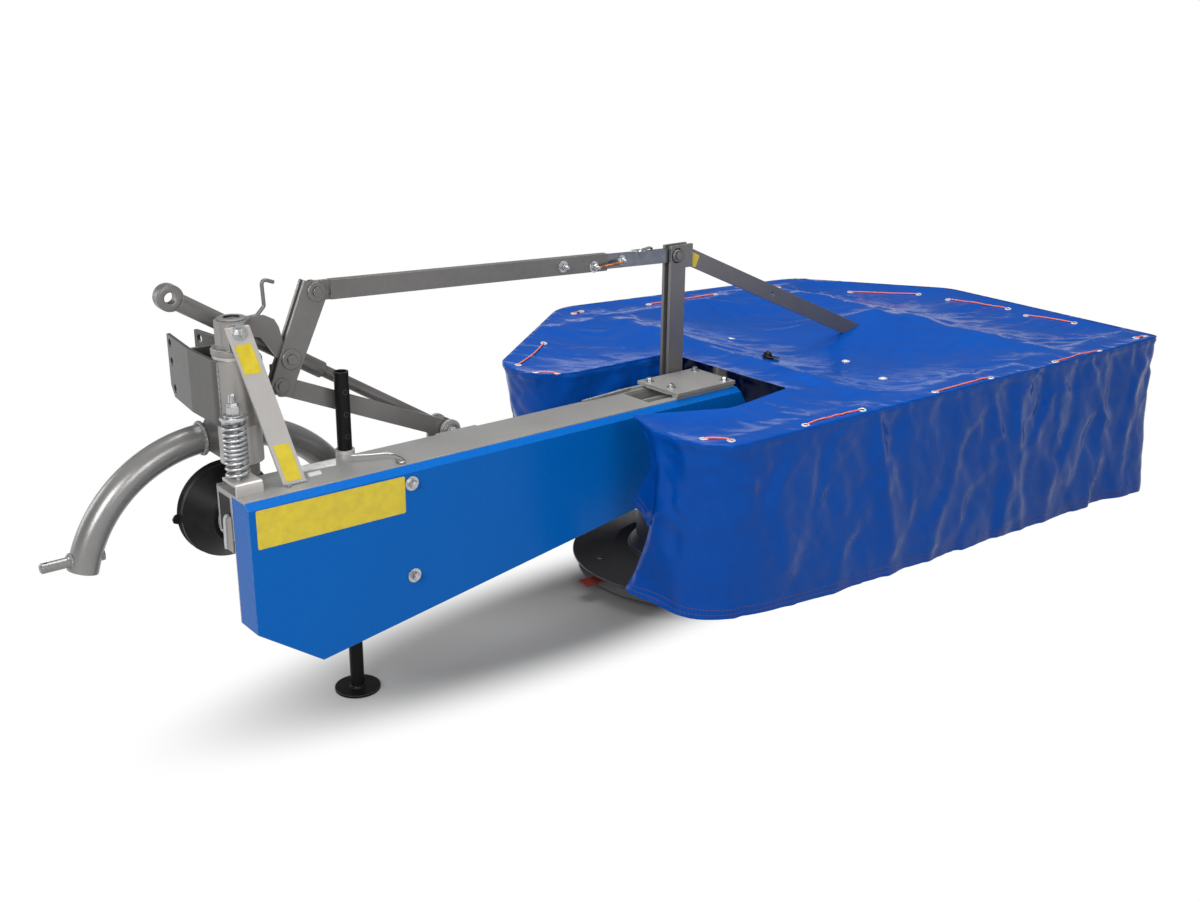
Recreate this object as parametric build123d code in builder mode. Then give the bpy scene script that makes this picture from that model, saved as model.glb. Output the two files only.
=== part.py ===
from build123d import *
import os
from math import cos, hypot, radians, sin

# Two-drum rotary mower on a three-point headstock, in its working position.
# Millimetres. X runs out along the beam, Y is the driving direction, Z is up.
# Every number below is measured from the upright swivel column's axis and the floor;
# the part's own origin is on the floor at the middle of its footprint.
swivel_x = -1122.25
swivel_y = -48.5

# ---------------------------------------------------------------- headstock
column_diameter = 88.9
column_wall = 9.0
column_bottom = 610.0
column_top = 852.0
bracket_plate = 8.0
bracket_bottom = 695.0
bracket_top = 832.0
bracket_straight = 112.0          # straight run of each wing in front of the column
wing_reach = 262.0                # front edge of the wings, ahead of the column axis
wing_half_span = 35.0             # outer face of a wing at its front edge
wing_chamfer = 22.0
link_hole_diameter = 20.0
link_holes = ((241.0, 815.0), (238.0, 775.0), (231.0, 716.0))
arch_y = 120.0
arch_diameter = 63.5
arch_wall = 6.0
arch_top = 632.0
arch_straight = 20.0              # half of the level run at the top of the arch
arch_bend_radius = 300.0
arch_bend_angle = 73.0
arch_leg = 20.0
saddle_fit = 0.6
saddle_plate = 10.0
saddle_half_span = 30.0
saddle_top = 690.0
saddle_bottom = 612.0
hitch_height = 427.0
hitch_span = 683.0                # between the shoulders of the lower hitch pins
hitch_pin_diameter = 22.0
hitch_pin_root_diameter = 27.0
hitch_pin_reach = 54.0
hitch_pin_stub = 8.0
hitch_pin_chamfer = 3.0
linch_hole_diameter = 9.0
linch_hole_inset = 12.0

# ------------------------------------------------------------ swinging frame
running = 0.1                     # radial clearance of every turning pair
seat = 0.3                        # gap between faces that only rest on each other
cap_across_flats = 66.0
cap_bottom = 855.0
cap_top = 909.0
cap_recess_radius = 18.0
cap_recess_depth = 6.0
cap_lug_width = 34.0
swivel_radius = 34.0
beam_left = -75.0
beam_right = 1285.0
beam_head_left = beam_right - 115.0   # where the box section ends and the pivot casting starts
beam_near = -98.0
beam_far = -32.0
beam_bottom = 480.0
deck_top = 579.0
deck_plate = 5.0
deck_near = -161.0
beam_wall = 6.0
head_relief = 30.0                # length of the casting that keeps to the beam's underside
end_plate_left = beam_right - 202.0
end_plate_near = -165.0
end_plate_far = -12.0
end_plate_top = 594.0
end_plate_thickness = 9.0
end_plate_lip = 16.0
gusset_plate = 10.0
gusset_bottom = beam_bottom + 10.0
gusset_left = beam_right - 407.0
recess_left = beam_right - 275.0
recess_right = beam_right - 165.0
recess_near = -137.0
recess_far = -40.0
guard_sheet = 3.0
guard_near = -175.0
guard_back = -101.0
guard_top = 577.0
guard_bevel = 13.0
# corners of the guard's face, from the top left one round the bottom
guard_face = ((beam_left, guard_top), (beam_left, 295.0), (68.0, 193.0), (256.0, 221.0),
              (beam_right + 15, 377.0), (beam_right + 38, 400.0), (beam_right + 38, 520.0),
              (beam_right + 5, guard_top))
brace_width = 50.0
brace_thickness = 8.0
brace_foot = (54.0, -122.0)
brace_head = (-14.0, -54.0)
brace_top = 905.0

# ----------------------------------------------------------- linkage and stay
link_y = 12.0                     # middle plane of the lever and of both flat links
bar_thickness = 10.0
lever_plate = 6.0
lever_gap = 12.0
lever_outline = ((76.0, 757.0), (166.0, 967.0), (221.0, 938.0), (118.0, 724.0), (92.0, 728.0))
lever_pin_end = 8.0
lever_washer = 7.0
lever_washer_thickness = 3.0
lever_top_pin = (191.5, 940.0)
lever_pivot = (124.4, 804.4)
lever_low_pin = (99.0, 750.4)
beam_pin = (513.0, 571.0)
pin_radius = 10.0
# curved arm from the swivel cap down to the lever's pivot, clockwise from the cap
bracket_outline = (
    (33.0, 907.0), (78.0, 903.0), (96.0, 893.0), (105.0, 876.0), (116.4, 826.4), (138.4, 818.4),
    (138.4, 790.4), (110.4, 790.4), (74.0, 846.0), (62.0, 860.0), (33.0, 866.0))
low_bar_width = 40.0
bracket_foot = 8.0
bracket_foot_size = (110.0, 68.0)
bracket_base = 512.0              # underside of the beam pin's bracket
bracket_base_length = 64.0
ear_thickness = 8.0
ear_width = 52.0
ear_radius = 26.0
ear_gaps = (2.0, 53.0)            # far face of the near ear, near face of the far ear
upper_link_width = 42.0
upper_link_depth = 20.0
upper_link_wall = 3.0
upper_link_plug = 20.0            # solid end of the tube behind its tongue
tongue = 36.0
upper_link_end = beam_right - 296.0
inner_bar_width = 35.4
inner_bar_thickness = 13.4
inner_bar_hidden = 170.0
inner_bar_eye = 24.0
mast_pin = (beam_right - 67.0, 902.0)
mast_pin_radius = 9.0
mast_pin_end = 10.0
mast_eye_hole = 16.0
stay_eye = (-96.0, 75.0, 952.0)
stay_foot_y = 34.0
stay_foot_half = 9.0
stay_foot_radius = 24.0
stay_neck = 23.0
stay_rod_radius = 13.5
stay_tube_radius = 18.5
stay_tube_share = 0.52
stay_eye_radius = 27.5
stay_eye_hole = 12.0
stay_eye_width = 26.0
block_x = 129.0
block_clearance = 11.0
block_width = 34.0
block_reach = 56.0
block_height = 26.0
latch_radius = 4.0
latch_bends = ((46.0, 901.0), (65.0, 903.0), (82.0, 920.0), (80.0, 977.0), (107.0, 967.0))
latch_bend_radius = 8.0

# -------------------------------------------------------------- drive input
input_x = 2.0
input_z = 468.0
input_housing_radius = 50.0
input_housing_end = 40.0
cone_small_radius = 58.0
cone_rim_radius = 106.0
cone_rim_y = 110.0
cone_rim_length = 16.0
cone_wall = 4.0
cone_bore = 27.45
input_shaft_diameter = 34.9
input_bearing_radius = 20.0
input_shoulder = 46.0
input_shaft_end = 108.0
shaft_chamfer = 2.0
pulley_stub = 30.0
seal_gap = 4.0

# ------------------------------------------------------------- belt tensioner
tension_x = -52.0
tension_y = -90.0
tension_seat = 605.0
tension_plate = 6.0
lug_near = -128.0                 # upright side of the folded lug
lug_bend = 10.0
lug_length = 58.0
lug_margin = 26.0
tension_spring_top = 731.0
tension_rod_top = 782.0
tension_rod_radius = 7.0
rod_chamfer = 1.5
cup_rim = 2.5
cup_height = 5.0
nut_across_flats = 24.0
nut_height = 21.0
spring_radius = 25.0
spring_wire = 7.0

# ------------------------------------------------------------ parking stand
stand_x = 231.0
stand_y = -14.0
stand_diameter = 32.0
stand_wall = 3.0
stand_top = 764.0
stand_foot_diameter = 105.0
stand_foot_thickness = 6.0
sleeve_wall = 5.0
sleeve_bottom = 490.0
sleeve_top = 588.0

# ---------------------------------------------------------------- drum unit
tilt_x = beam_right - 45.0         # axis the cutting unit tilts about, to follow the ground
tilt_z = 475.0
tilt_journal_radius = 35.0
tilt_bearing_radius = 50.0
journal_end = 8.0
mast_plate = 8.0
mast_gap = 16.0
mast_width = 52.0
mast_top = 928.0
mast_head_height = 60.0
mast_head_extra = 24.0
mast_hub_gap = 10.0
diagonal_slope = -0.432
diagonal_half = 24.0
diagonal_thickness = 8.0
diagonal_head = (tilt_x + 13.0, 899.5)
diagonal_hole = (tilt_x + 351.0, 750.0)
diagonal_hole_radius = 7.0
post_width = 40.0
post_wall = 4.0
housing_left = tilt_x - 50.0
housing_half_width = 75.0
housing_bottom = 360.0
housing_top = 418.0
drum_spacing = 825.0
left_drum_x = tilt_x + 48.0
right_drum_x = left_drum_x + drum_spacing
housing_right = right_drum_x + 127.0
post_x = right_drum_x - 23.0
housing_corner = 20.0
drum_radius = 140.0
drum_wall = 5.0
drum_bottom = 85.0
drum_shoulder = 18.0
drum_skirt = 24.0
drum_skirt_height = 30.0
hub_wall = 12.0
hub_length = 40.0
drum_top = 342.0
disc_radius = 317.0
disc_rim_height = 68.0
disc_sheet = 5.0
disc_flat_radius = drum_radius + 60.0
skid_radius = 302.0
skid_flat_radius = 190.0
skid_rim_height = 26.0
skid_sheet = 6.0
spindle_radius = 40.0
knife_bolt_radius = 275.0
knife_length = 96.0
knife_width = 42.0
knife_thickness = 4.0
knife_tail = 20.0
knife_stud_radius = 9.0
knife_height = 44.0
knives_per_disc = 3
knife_angle = 175.0
tarp_top = 612.0
tarp_sheet = 7.0
skirt_bottom = 145.0
skirt_sheet = 7.0
frame_pipe = 25.0
# pipes of the cover's frame: y, first x and last x of a rail; x, first y and last y of a bearer
rails = {
    "cover_rail_rear": (-542.0, tilt_x - 345.0, right_drum_x + 437.0),
    "cover_rail_front": (540.0, tilt_x - 5.0, right_drum_x + 212.0)}
bearers = {
    "cover_bearer_left": (tilt_x + 200.0, -560.0, 640.0),
    "cover_bearer_right": (right_drum_x + 67.0, -560.0, 575.0)}
bearer_post_y = 45.0
bearer_post_radius = 20.0
# plan corners of the cover, from the front left one round the notch for the beam
cover_corners = (
    (tilt_x - 382.0, 290.0), (tilt_x - 372.0, 150.0), (tilt_x - 280.0, 104.0), (tilt_x + 60.0, 96.0),
    (tilt_x + 60.0, -330.0), (tilt_x - 117.0, -358.0), (tilt_x - 176.0, -362.0), (tilt_x - 373.0, -243.0),
    (tilt_x - 414.0, -352.0), (tilt_x - 414.0, -490.0), (tilt_x - 360.0, -575.0),
    (right_drum_x + 457.0, -628.0), (right_drum_x + 527.0, 160.0), (right_drum_x + 222.0, 600.0),
    (tilt_x + 158.0, 725.0))
# each skirt hangs between two of those corners
skirt_walls = {
    "skirt_front_left": (0, 14), "skirt_left_rear": (8, 9), "skirt_rear": (10, 11),
    "skirt_right": (11, 12), "skirt_front_right": (12, 13), "skirt_front": (13, 14)}
skirt_inset = 2.0
skirt_end_gap = 12.0
slot_from = tilt_x + 610.0        # slit in the cloth that the diagonal bar passes through
slot_to = tilt_x + 772.0
slot_width = 20.0

os.makedirs("parts", exist_ok=True)


def save(piece, label):
    piece.part.label = label
    export_step(piece.part, f"parts/{label}.step")


def point(x, y, z):
    """Point measured from the swivel column's axis and the floor."""
    return Vector(swivel_x + x, swivel_y + y, z)


def level(z):
    """Level plane at height z: sketch x and y are X and Y."""
    return Plane(origin=point(0, 0, z))


def across(x):
    """Upright plane at x: sketch x is Y, sketch y is Z, and extruding runs towards +X."""
    return Plane(origin=point(x, 0, 0), x_dir=(0, 1, 0), z_dir=(1, 0, 0))


def facing(y):
    """Upright plane at y: sketch x is X, sketch y is Z, and extruding runs towards -Y."""
    return Plane(origin=point(0, y, 0), x_dir=(1, 0, 0), z_dir=(0, -1, 0))


def round_bar(place, radius, y_from, y_to, mode=Mode.ADD):
    """Round bar or bore along Y at place = (x, z)."""
    with BuildSketch(facing(y_to)) as section:
        with Locations(place):
            Circle(radius)
    extrude(section.sketch, amount=y_to - y_from, mode=mode)


def upright_bar(place, radius, z_from, z_to, mode=Mode.ADD):
    """Round bar or bore along Z at place = (x, y)."""
    with BuildSketch(level(z_from)) as section:
        with Locations(place):
            Circle(radius)
    extrude(section.sketch, amount=z_to - z_from, mode=mode)


# ================================================================ headstock
column_radius = column_diameter / 2
bore_radius = column_radius - column_wall

with BuildPart() as headstock_column:
    upright_bar((0, 0), column_radius, column_bottom, column_top)
    upright_bar((0, 0), bore_radius, column_bottom, column_top, Mode.SUBTRACT)
save(headstock_column, "headstock_column")

# One plate rolled round the back of the column; both ends run forward as the
# wings that take the top link pin, toed in past the bend.
wing_outer = column_radius + bracket_plate
wing_inner = column_radius
with BuildPart() as top_link_bracket:
    with BuildSketch(level(bracket_bottom)):
        with BuildLine():
            CenterArc((0, 0), wing_outer, 180, 180)
            Polyline((wing_outer, 0), (wing_outer, bracket_straight), (wing_half_span, wing_reach),
                     (wing_half_span - bracket_plate, wing_reach), (wing_inner, bracket_straight),
                     (wing_inner, 0))
            CenterArc((0, 0), wing_inner, 0, -180)
            Polyline((-wing_inner, 0), (-wing_inner, bracket_straight),
                     (-wing_half_span + bracket_plate, wing_reach), (-wing_half_span, wing_reach),
                     (-wing_outer, bracket_straight), (-wing_outer, 0))
        make_face()
        # web between the wings at the bend
        with Locations((0, bracket_straight)):
            Rectangle(2 * wing_inner, bracket_plate)
    extrude(amount=bracket_top - bracket_bottom)
    with BuildSketch(across(-wing_outer)):
        with Locations(*link_holes):
            Circle(link_hole_diameter / 2)
    extrude(amount=2 * wing_outer, mode=Mode.SUBTRACT)
    front_corners = top_link_bracket.edges().filter_by(Axis.X).group_by(Axis.Y)[-1].group_by(Axis.Z)[0]
    chamfer(front_corners, wing_chamfer)
save(top_link_bracket, "top_link_bracket")

arch_radius = arch_diameter / 2
bend_x = arch_straight + arch_bend_radius * sin(radians(arch_bend_angle))
bend_z = arch_top - arch_bend_radius * (1 - cos(radians(arch_bend_angle)))
foot_x = bend_x + arch_leg * cos(radians(arch_bend_angle))
foot_z = bend_z - arch_leg * sin(radians(arch_bend_angle))
arch_centre_z = arch_top - arch_bend_radius
with BuildPart() as hitch_arch:
    with BuildLine(facing(arch_y)) as arch_path:
        Line((-foot_x, foot_z), (-bend_x, bend_z))
        CenterArc((-arch_straight, arch_centre_z), arch_bend_radius, 90 + arch_bend_angle, -arch_bend_angle)
        Line((-arch_straight, arch_top), (arch_straight, arch_top))
        CenterArc((arch_straight, arch_centre_z), arch_bend_radius, 90, -arch_bend_angle)
        Line((bend_x, bend_z), (foot_x, foot_z))
    with BuildSketch(Plane(origin=arch_path.line @ 0, z_dir=arch_path.line % 0)):
        Circle(arch_radius)
        Circle(arch_radius - arch_wall, mode=Mode.SUBTRACT)
    sweep(path=arch_path.line)
    with BuildSketch(across(-hitch_span / 2)):
        with Locations((arch_y, hitch_height)):
            Circle(hitch_pin_root_diameter / 2)
    extrude(amount=hitch_span, mode=Mode.SUBTRACT)
save(hitch_arch, "hitch_arch")

# pair of gusset plates from the column to the arch
with BuildPart() as arch_saddle:
    for side in (-1, 1):
        with BuildSketch(across(side * saddle_half_span - saddle_plate / 2)):
            with BuildLine():
                Polyline((0, saddle_bottom), (arch_y, saddle_bottom), (arch_y, saddle_top - 34),
                         (arch_y - 24, saddle_top - 10), (0, saddle_top), close=True)
            make_face()
        extrude(amount=saddle_plate)
    with BuildSketch(level(saddle_bottom)):
        with Locations((0, (column_radius + arch_y) / 2)):
            Rectangle(2 * saddle_half_span, arch_y - column_radius)
    extrude(amount=saddle_plate)
    upright_bar((0, 0), column_radius, column_bottom, column_top, Mode.SUBTRACT)
    with BuildSketch(across(-2 * saddle_half_span)):
        with Locations((arch_y, arch_top)):
            Circle(arch_radius + saddle_fit)
    extrude(amount=4 * saddle_half_span, mode=Mode.SUBTRACT)
save(arch_saddle, "arch_saddle")

for side, label in ((-1, "hitch_pin_left"), (1, "hitch_pin_right")):
    pin_inner = bend_x - arch_radius - hitch_pin_stub
    pin_outer = hitch_span / 2 + hitch_pin_reach
    with BuildPart() as hitch_pin:
        with BuildSketch(across(side * pin_inner)):
            with Locations((arch_y, hitch_height)):
                Circle(hitch_pin_root_diameter / 2)
        extrude(amount=side * (hitch_span / 2 - pin_inner))
        with BuildSketch(across(side * hitch_span / 2)):
            with Locations((arch_y, hitch_height)):
                Circle(hitch_pin_diameter / 2)
        extrude(amount=side * hitch_pin_reach)
        tip = hitch_pin.faces().sort_by(Axis.X)[-1 if side > 0 else 0]
        chamfer(tip.edges(), hitch_pin_chamfer)
        upright_bar((side * (pin_outer - linch_hole_inset), arch_y), linch_hole_diameter / 2,
                    hitch_height - hitch_pin_diameter, hitch_height + hitch_pin_diameter, Mode.SUBTRACT)
    save(hitch_pin, label)

# ============================================================ swinging frame
with BuildPart() as swivel_pin:
    upright_bar((0, 0), swivel_radius, deck_top, column_bottom - seat)
    upright_bar((0, 0), bore_radius - running, column_bottom - seat, cap_bottom)
save(swivel_pin, "swivel_pin")

with BuildPart() as swivel_cap:
    with BuildSketch(level(cap_bottom)):
        RegularPolygon(cap_across_flats / 2, 8, major_radius=False, rotation=22.5)
        # lug that the flat brace is bolted to
        with Locations((brace_head[0], (brace_head[1] + brace_thickness / 2) / 2)):
            Rectangle(cap_lug_width, -brace_head[1] - brace_thickness / 2)
    extrude(amount=cap_top - cap_bottom)
    with BuildSketch(level(cap_top)):
        Circle(cap_recess_radius)
    extrude(amount=-cap_recess_depth, mode=Mode.SUBTRACT)
    # cut the lug's face to the brace's lean
    lean = (brace_foot[1] - brace_head[1]) / (deck_top - brace_top)
    with BuildSketch(across(-cap_across_flats)):
        with BuildLine():
            near = brace_head[1] + brace_thickness / 2
            Polyline((near + lean * (cap_top - brace_top), cap_top),
                     (near + lean * (cap_bottom - brace_top), cap_bottom),
                     (near - cap_across_flats, cap_bottom), (near - cap_across_flats, cap_top), close=True)
        make_face()
    extrude(amount=2 * cap_across_flats, mode=Mode.SUBTRACT)
save(swivel_cap, "swivel_cap")

with BuildPart() as swivel_brace:
    with BuildSketch(level(deck_top)):
        with Locations(brace_foot):
            Rectangle(brace_width, brace_thickness)
    with BuildSketch(level(brace_top)):
        with Locations(brace_head):
            Rectangle(brace_width, brace_thickness)
    loft()
save(swivel_brace, "swivel_brace")

beam_top = deck_top - deck_plate
beam_mid = (beam_near + beam_far) / 2
with BuildPart() as beam:
    with BuildSketch(across(beam_left)):
        with Locations((beam_mid, (beam_bottom + beam_top) / 2)):
            Rectangle(beam_far - beam_near, beam_top - beam_bottom)
            Rectangle(beam_far - beam_near - 2 * beam_wall, beam_top - beam_bottom - 2 * beam_wall,
                      mode=Mode.SUBTRACT)
    extrude(amount=beam_head_left - beam_left)
    round_bar((input_x, input_z), input_housing_radius, beam_near, beam_far, Mode.SUBTRACT)
    with BuildSketch(level(beam_top)):
        with Locations(((recess_left + recess_right) / 2, (recess_near + recess_far) / 2)):
            Rectangle(recess_right - recess_left, recess_far - recess_near)
    extrude(amount=-beam_wall, mode=Mode.SUBTRACT)
save(beam, "beam")

with BuildPart() as beam_deck:
    with BuildSketch(level(beam_top)):
        with Locations(((beam_left + beam_right) / 2, (deck_near + beam_far) / 2)):
            Rectangle(beam_right - beam_left, beam_far - deck_near)
        with Locations(((recess_left + recess_right) / 2, (recess_near + recess_far) / 2)):
            Rectangle(recess_right - recess_left, recess_far - recess_near, mode=Mode.SUBTRACT)
    extrude(amount=deck_plate)
save(beam_deck, "beam_deck")

# casting at the beam's end that carries the driven pulley and the tilt bearing
with BuildPart() as pivot_head:
    with BuildSketch(facing(beam_far)):
        with Locations(((beam_head_left + beam_right) / 2, (tilt_z + beam_top) / 2)):
            Rectangle(beam_right - beam_head_left, beam_top - tilt_z)
        with Locations((tilt_x, tilt_z)):
            Circle(tilt_bearing_radius)
        with Locations((beam_head_left, tilt_z)):
            Rectangle(2 * head_relief, 2 * (beam_bottom - tilt_z), mode=Mode.SUBTRACT)
        with Locations((tilt_x, tilt_z)):
            Circle(tilt_journal_radius + running, mode=Mode.SUBTRACT)
    extrude(amount=beam_far - beam_near)
save(pivot_head, "pivot_head")

# bolted plate over the pivot; a lip along its near edge stands on the deck
plate_seat = end_plate_top - end_plate_thickness
with BuildPart() as end_plate:
    with BuildSketch(level(plate_seat)):
        with Locations(((end_plate_left + beam_right) / 2, (end_plate_near + end_plate_far) / 2)):
            Rectangle(beam_right - end_plate_left, end_plate_far - end_plate_near)
    extrude(amount=end_plate_thickness)
    with BuildSketch(level(deck_top)):
        with Locations(((end_plate_left + beam_right) / 2, deck_near + end_plate_lip / 2)):
            Rectangle(beam_right - end_plate_left, end_plate_lip)
    extrude(amount=plate_seat - deck_top)
save(end_plate, "end_plate")

# side plate on the beam's far face, rising to the bolted plate and round the tilt bearing
with BuildPart() as end_gusset:
    with BuildSketch(facing(beam_far + gusset_plate)):
        with BuildLine():
            Polyline((gusset_left, gusset_bottom), (gusset_left, beam_top), (recess_left, plate_seat),
                     (beam_right, plate_seat), (beam_right, tilt_z), (beam_head_left, gusset_bottom),
                     close=True)
        make_face()
        with Locations((tilt_x, tilt_z)):
            Circle(tilt_bearing_radius)
        with Locations((tilt_x, tilt_z)):
            Circle(tilt_journal_radius + running, mode=Mode.SUBTRACT)
    extrude(amount=gusset_plate)
save(end_gusset, "end_gusset")

# folded sheet cover of the belt drive, closed by a plate on the beam's side
with BuildPart() as guard_hollow:
    with BuildSketch(facing(guard_back)):
        with BuildLine():
            Polyline(*guard_face, close=True)
        make_face()
        offset(amount=-guard_sheet, kind=Kind.INTERSECTION)
    extrude(amount=guard_back - guard_near - guard_sheet)
    inner_edge = guard_hollow.faces().sort_by(Axis.Y)[0].edges().filter_by(Axis.X).sort_by(Axis.Z)[-1]
    chamfer(inner_edge, guard_bevel)

with BuildPart() as belt_guard:
    with BuildSketch(facing(guard_back)):
        with BuildLine():
            Polyline(*guard_face, close=True)
        make_face()
    extrude(amount=guard_back - guard_near)
    top_near_edge = belt_guard.faces().sort_by(Axis.Y)[0].edges().filter_by(Axis.X).sort_by(Axis.Z)[-1]
    chamfer(top_near_edge, guard_bevel)
    add(guard_hollow.part, mode=Mode.SUBTRACT)
    # the deck plate closes the top
    with BuildSketch(level(beam_top)):
        with Locations((beam_right / 2, (deck_near + guard_back) / 2)):
            Rectangle(2 * beam_right, guard_back - deck_near)
    extrude(amount=2 * deck_plate, mode=Mode.SUBTRACT)
save(belt_guard, "belt_guard")

with BuildPart() as guard_back_plate:
    with BuildSketch(facing(beam_near)):
        with BuildLine():
            Polyline(*guard_face, close=True)
        make_face()
        with Locations((input_x, input_z)):
            Circle(input_bearing_radius + seal_gap, mode=Mode.SUBTRACT)
        with Locations((tilt_x, tilt_z)):
            Circle(tilt_journal_radius + seal_gap, mode=Mode.SUBTRACT)
        with Locations((tilt_x / 2, beam_top + deck_plate)):
            Rectangle(2 * tilt_x, 2 * deck_plate, mode=Mode.SUBTRACT)
    extrude(amount=beam_near - guard_back)
save(guard_back_plate, "guard_back_plate")

# angle bracket on the deck with the tensioner's threaded rod and pressure spring
with BuildPart() as tensioner_bracket:
    with BuildSketch(across(beam_left)):
        with Locations((lug_near + tension_plate / 2, (deck_top + tension_seat) / 2)):
            Rectangle(tension_plate, tension_seat - deck_top)
        with Locations(((lug_near + tension_y + lug_margin) / 2, tension_seat - tension_plate / 2)):
            Rectangle(tension_y + lug_margin - lug_near, tension_plate)
    extrude(amount=lug_length)
    outer_bend = tensioner_bracket.edges().filter_by(Axis.X).group_by(Axis.Y)[0].sort_by(Axis.Z)[-1]
    fillet(outer_bend, lug_bend)
    upright_bar((tension_x, tension_y), tension_rod_radius, deck_top, tension_seat, Mode.SUBTRACT)
save(tensioner_bracket, "tensioner_bracket")

with BuildPart() as tensioner_spring:
    upright_bar((tension_x, tension_y), spring_radius, tension_seat, tension_spring_top)
    upright_bar((tension_x, tension_y), spring_radius - spring_wire, tension_seat, tension_spring_top,
                Mode.SUBTRACT)
save(tensioner_spring, "tensioner_spring")

with BuildPart() as tensioner_rod:
    upright_bar((tension_x, tension_y), tension_rod_radius, deck_top, tension_rod_top)
    chamfer(tensioner_rod.edges().sort_by(Axis.Z)[-1], rod_chamfer)
    cup_top = tension_spring_top + cup_height
    upright_bar((tension_x, tension_y), spring_radius + cup_rim, tension_spring_top, cup_top)
    with BuildSketch(level(cup_top)):
        with Locations((tension_x, tension_y)):
            RegularPolygon(nut_across_flats / 2, 6, major_radius=False)
    extrude(amount=nut_height)
save(tensioner_rod, "tensioner_rod")

# ---------------------------------------------------------------- drive input
with BuildPart() as input_housing:
    round_bar((input_x, input_z), input_housing_radius, beam_near, input_housing_end)
    round_bar((input_x, input_z), input_bearing_radius + running, beam_near, input_housing_end, Mode.SUBTRACT)
save(input_housing, "input_housing")

with BuildPart() as pto_guard:
    with BuildSketch(Plane(origin=point(input_x, 0, input_z), x_dir=(1, 0, 0), z_dir=(0, 0, 1))):
        with BuildLine():
            Polyline((cone_bore, input_housing_end), (cone_small_radius, input_housing_end),
                     (cone_rim_radius, cone_rim_y - cone_rim_length), (cone_rim_radius, cone_rim_y),
                     (cone_rim_radius - cone_wall, cone_rim_y),
                     (cone_rim_radius - cone_wall, cone_rim_y - cone_rim_length + cone_wall / 3),
                     (cone_small_radius - cone_wall, input_housing_end + cone_wall),
                     (cone_bore, input_housing_end + cone_wall), close=True)
        make_face()
    revolve(axis=Axis(point(input_x, 0, input_z), (0, 1, 0)))
save(pto_guard, "pto_guard")

with BuildPart() as pto_input_shaft:
    round_bar((input_x, input_z), input_bearing_radius, beam_near - pulley_stub, input_shoulder)
    round_bar((input_x, input_z), input_shaft_diameter / 2, input_shoulder, input_shaft_end)
    chamfer(pto_input_shaft.faces().sort_by(Axis.Y)[-1].edges(), shaft_chamfer)
save(pto_input_shaft, "pto_input_shaft")

# -------------------------------------------------------------- parking stand
stand_radius = stand_diameter / 2
sleeve_radius = stand_radius + running + sleeve_wall
with BuildPart() as stand_sleeve:
    upright_bar((stand_x, stand_y), sleeve_radius, sleeve_bottom, sleeve_top)
    with BuildSketch(level(sleeve_bottom)):
        with Locations((stand_x, beam_far - stand_diameter)):
            Rectangle(2 * stand_diameter, 2 * stand_diameter)
    extrude(amount=deck_top - sleeve_bottom, mode=Mode.SUBTRACT)
    upright_bar((stand_x, stand_y), stand_radius + running, sleeve_bottom, sleeve_top, Mode.SUBTRACT)
save(stand_sleeve, "stand_sleeve")

with BuildPart() as parking_stand:
    upright_bar((stand_x, stand_y), stand_radius, 0, stand_top)
    upright_bar((stand_x, stand_y), stand_radius - stand_wall, stand_foot_thickness, stand_top, Mode.SUBTRACT)
    upright_bar((stand_x, stand_y), stand_foot_diameter / 2, 0, stand_foot_thickness)
save(parking_stand, "parking_stand")

# ------------------------------------------------------- lever and linkage
bar_far = link_y + bar_thickness / 2
lever_far = link_y + lever_gap / 2 + lever_plate
lever_near = link_y - lever_gap / 2 - lever_plate
with BuildPart() as lever_bracket:
    with BuildSketch(facing(bar_far)):
        with BuildLine():
            Polyline(*bracket_outline, close=True)
        make_face()
        with Locations(lever_pivot):
            Circle(pin_radius, mode=Mode.SUBTRACT)
    extrude(amount=bar_thickness)
save(lever_bracket, "lever_bracket")

with BuildPart() as lever:
    for plate_far in (lever_far, lever_near + lever_plate):
        with BuildSketch(facing(plate_far)):
            with BuildLine():
                Polyline(*lever_outline, close=True)
            make_face()
        extrude(amount=lever_plate)
    for pin in (lever_low_pin, lever_pivot, lever_top_pin):
        round_bar(pin, pin_radius, lever_near - lever_pin_end, lever_far + lever_pin_end)
        round_bar(pin, pin_radius + lever_washer, lever_near - lever_washer_thickness, lever_near)
save(lever, "lever")

low_run = beam_pin[0] - lever_low_pin[0]
low_rise = beam_pin[1] - lever_low_pin[1]
with BuildPart() as lower_bar:
    with BuildSketch(Plane(origin=point(lever_low_pin[0], bar_far, lever_low_pin[1]),
                           x_dir=(low_run, 0, low_rise), z_dir=(0, -1, 0))):
        with Locations((hypot(low_run, low_rise) / 2, 0)):
            SlotCenterToCenter(hypot(low_run, low_rise), low_bar_width)
    extrude(amount=bar_thickness)
    for pin in (lever_low_pin, beam_pin):
        round_bar(pin, pin_radius, lever_near, lever_far, Mode.SUBTRACT)
save(lower_bar, "lower_bar")

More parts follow.
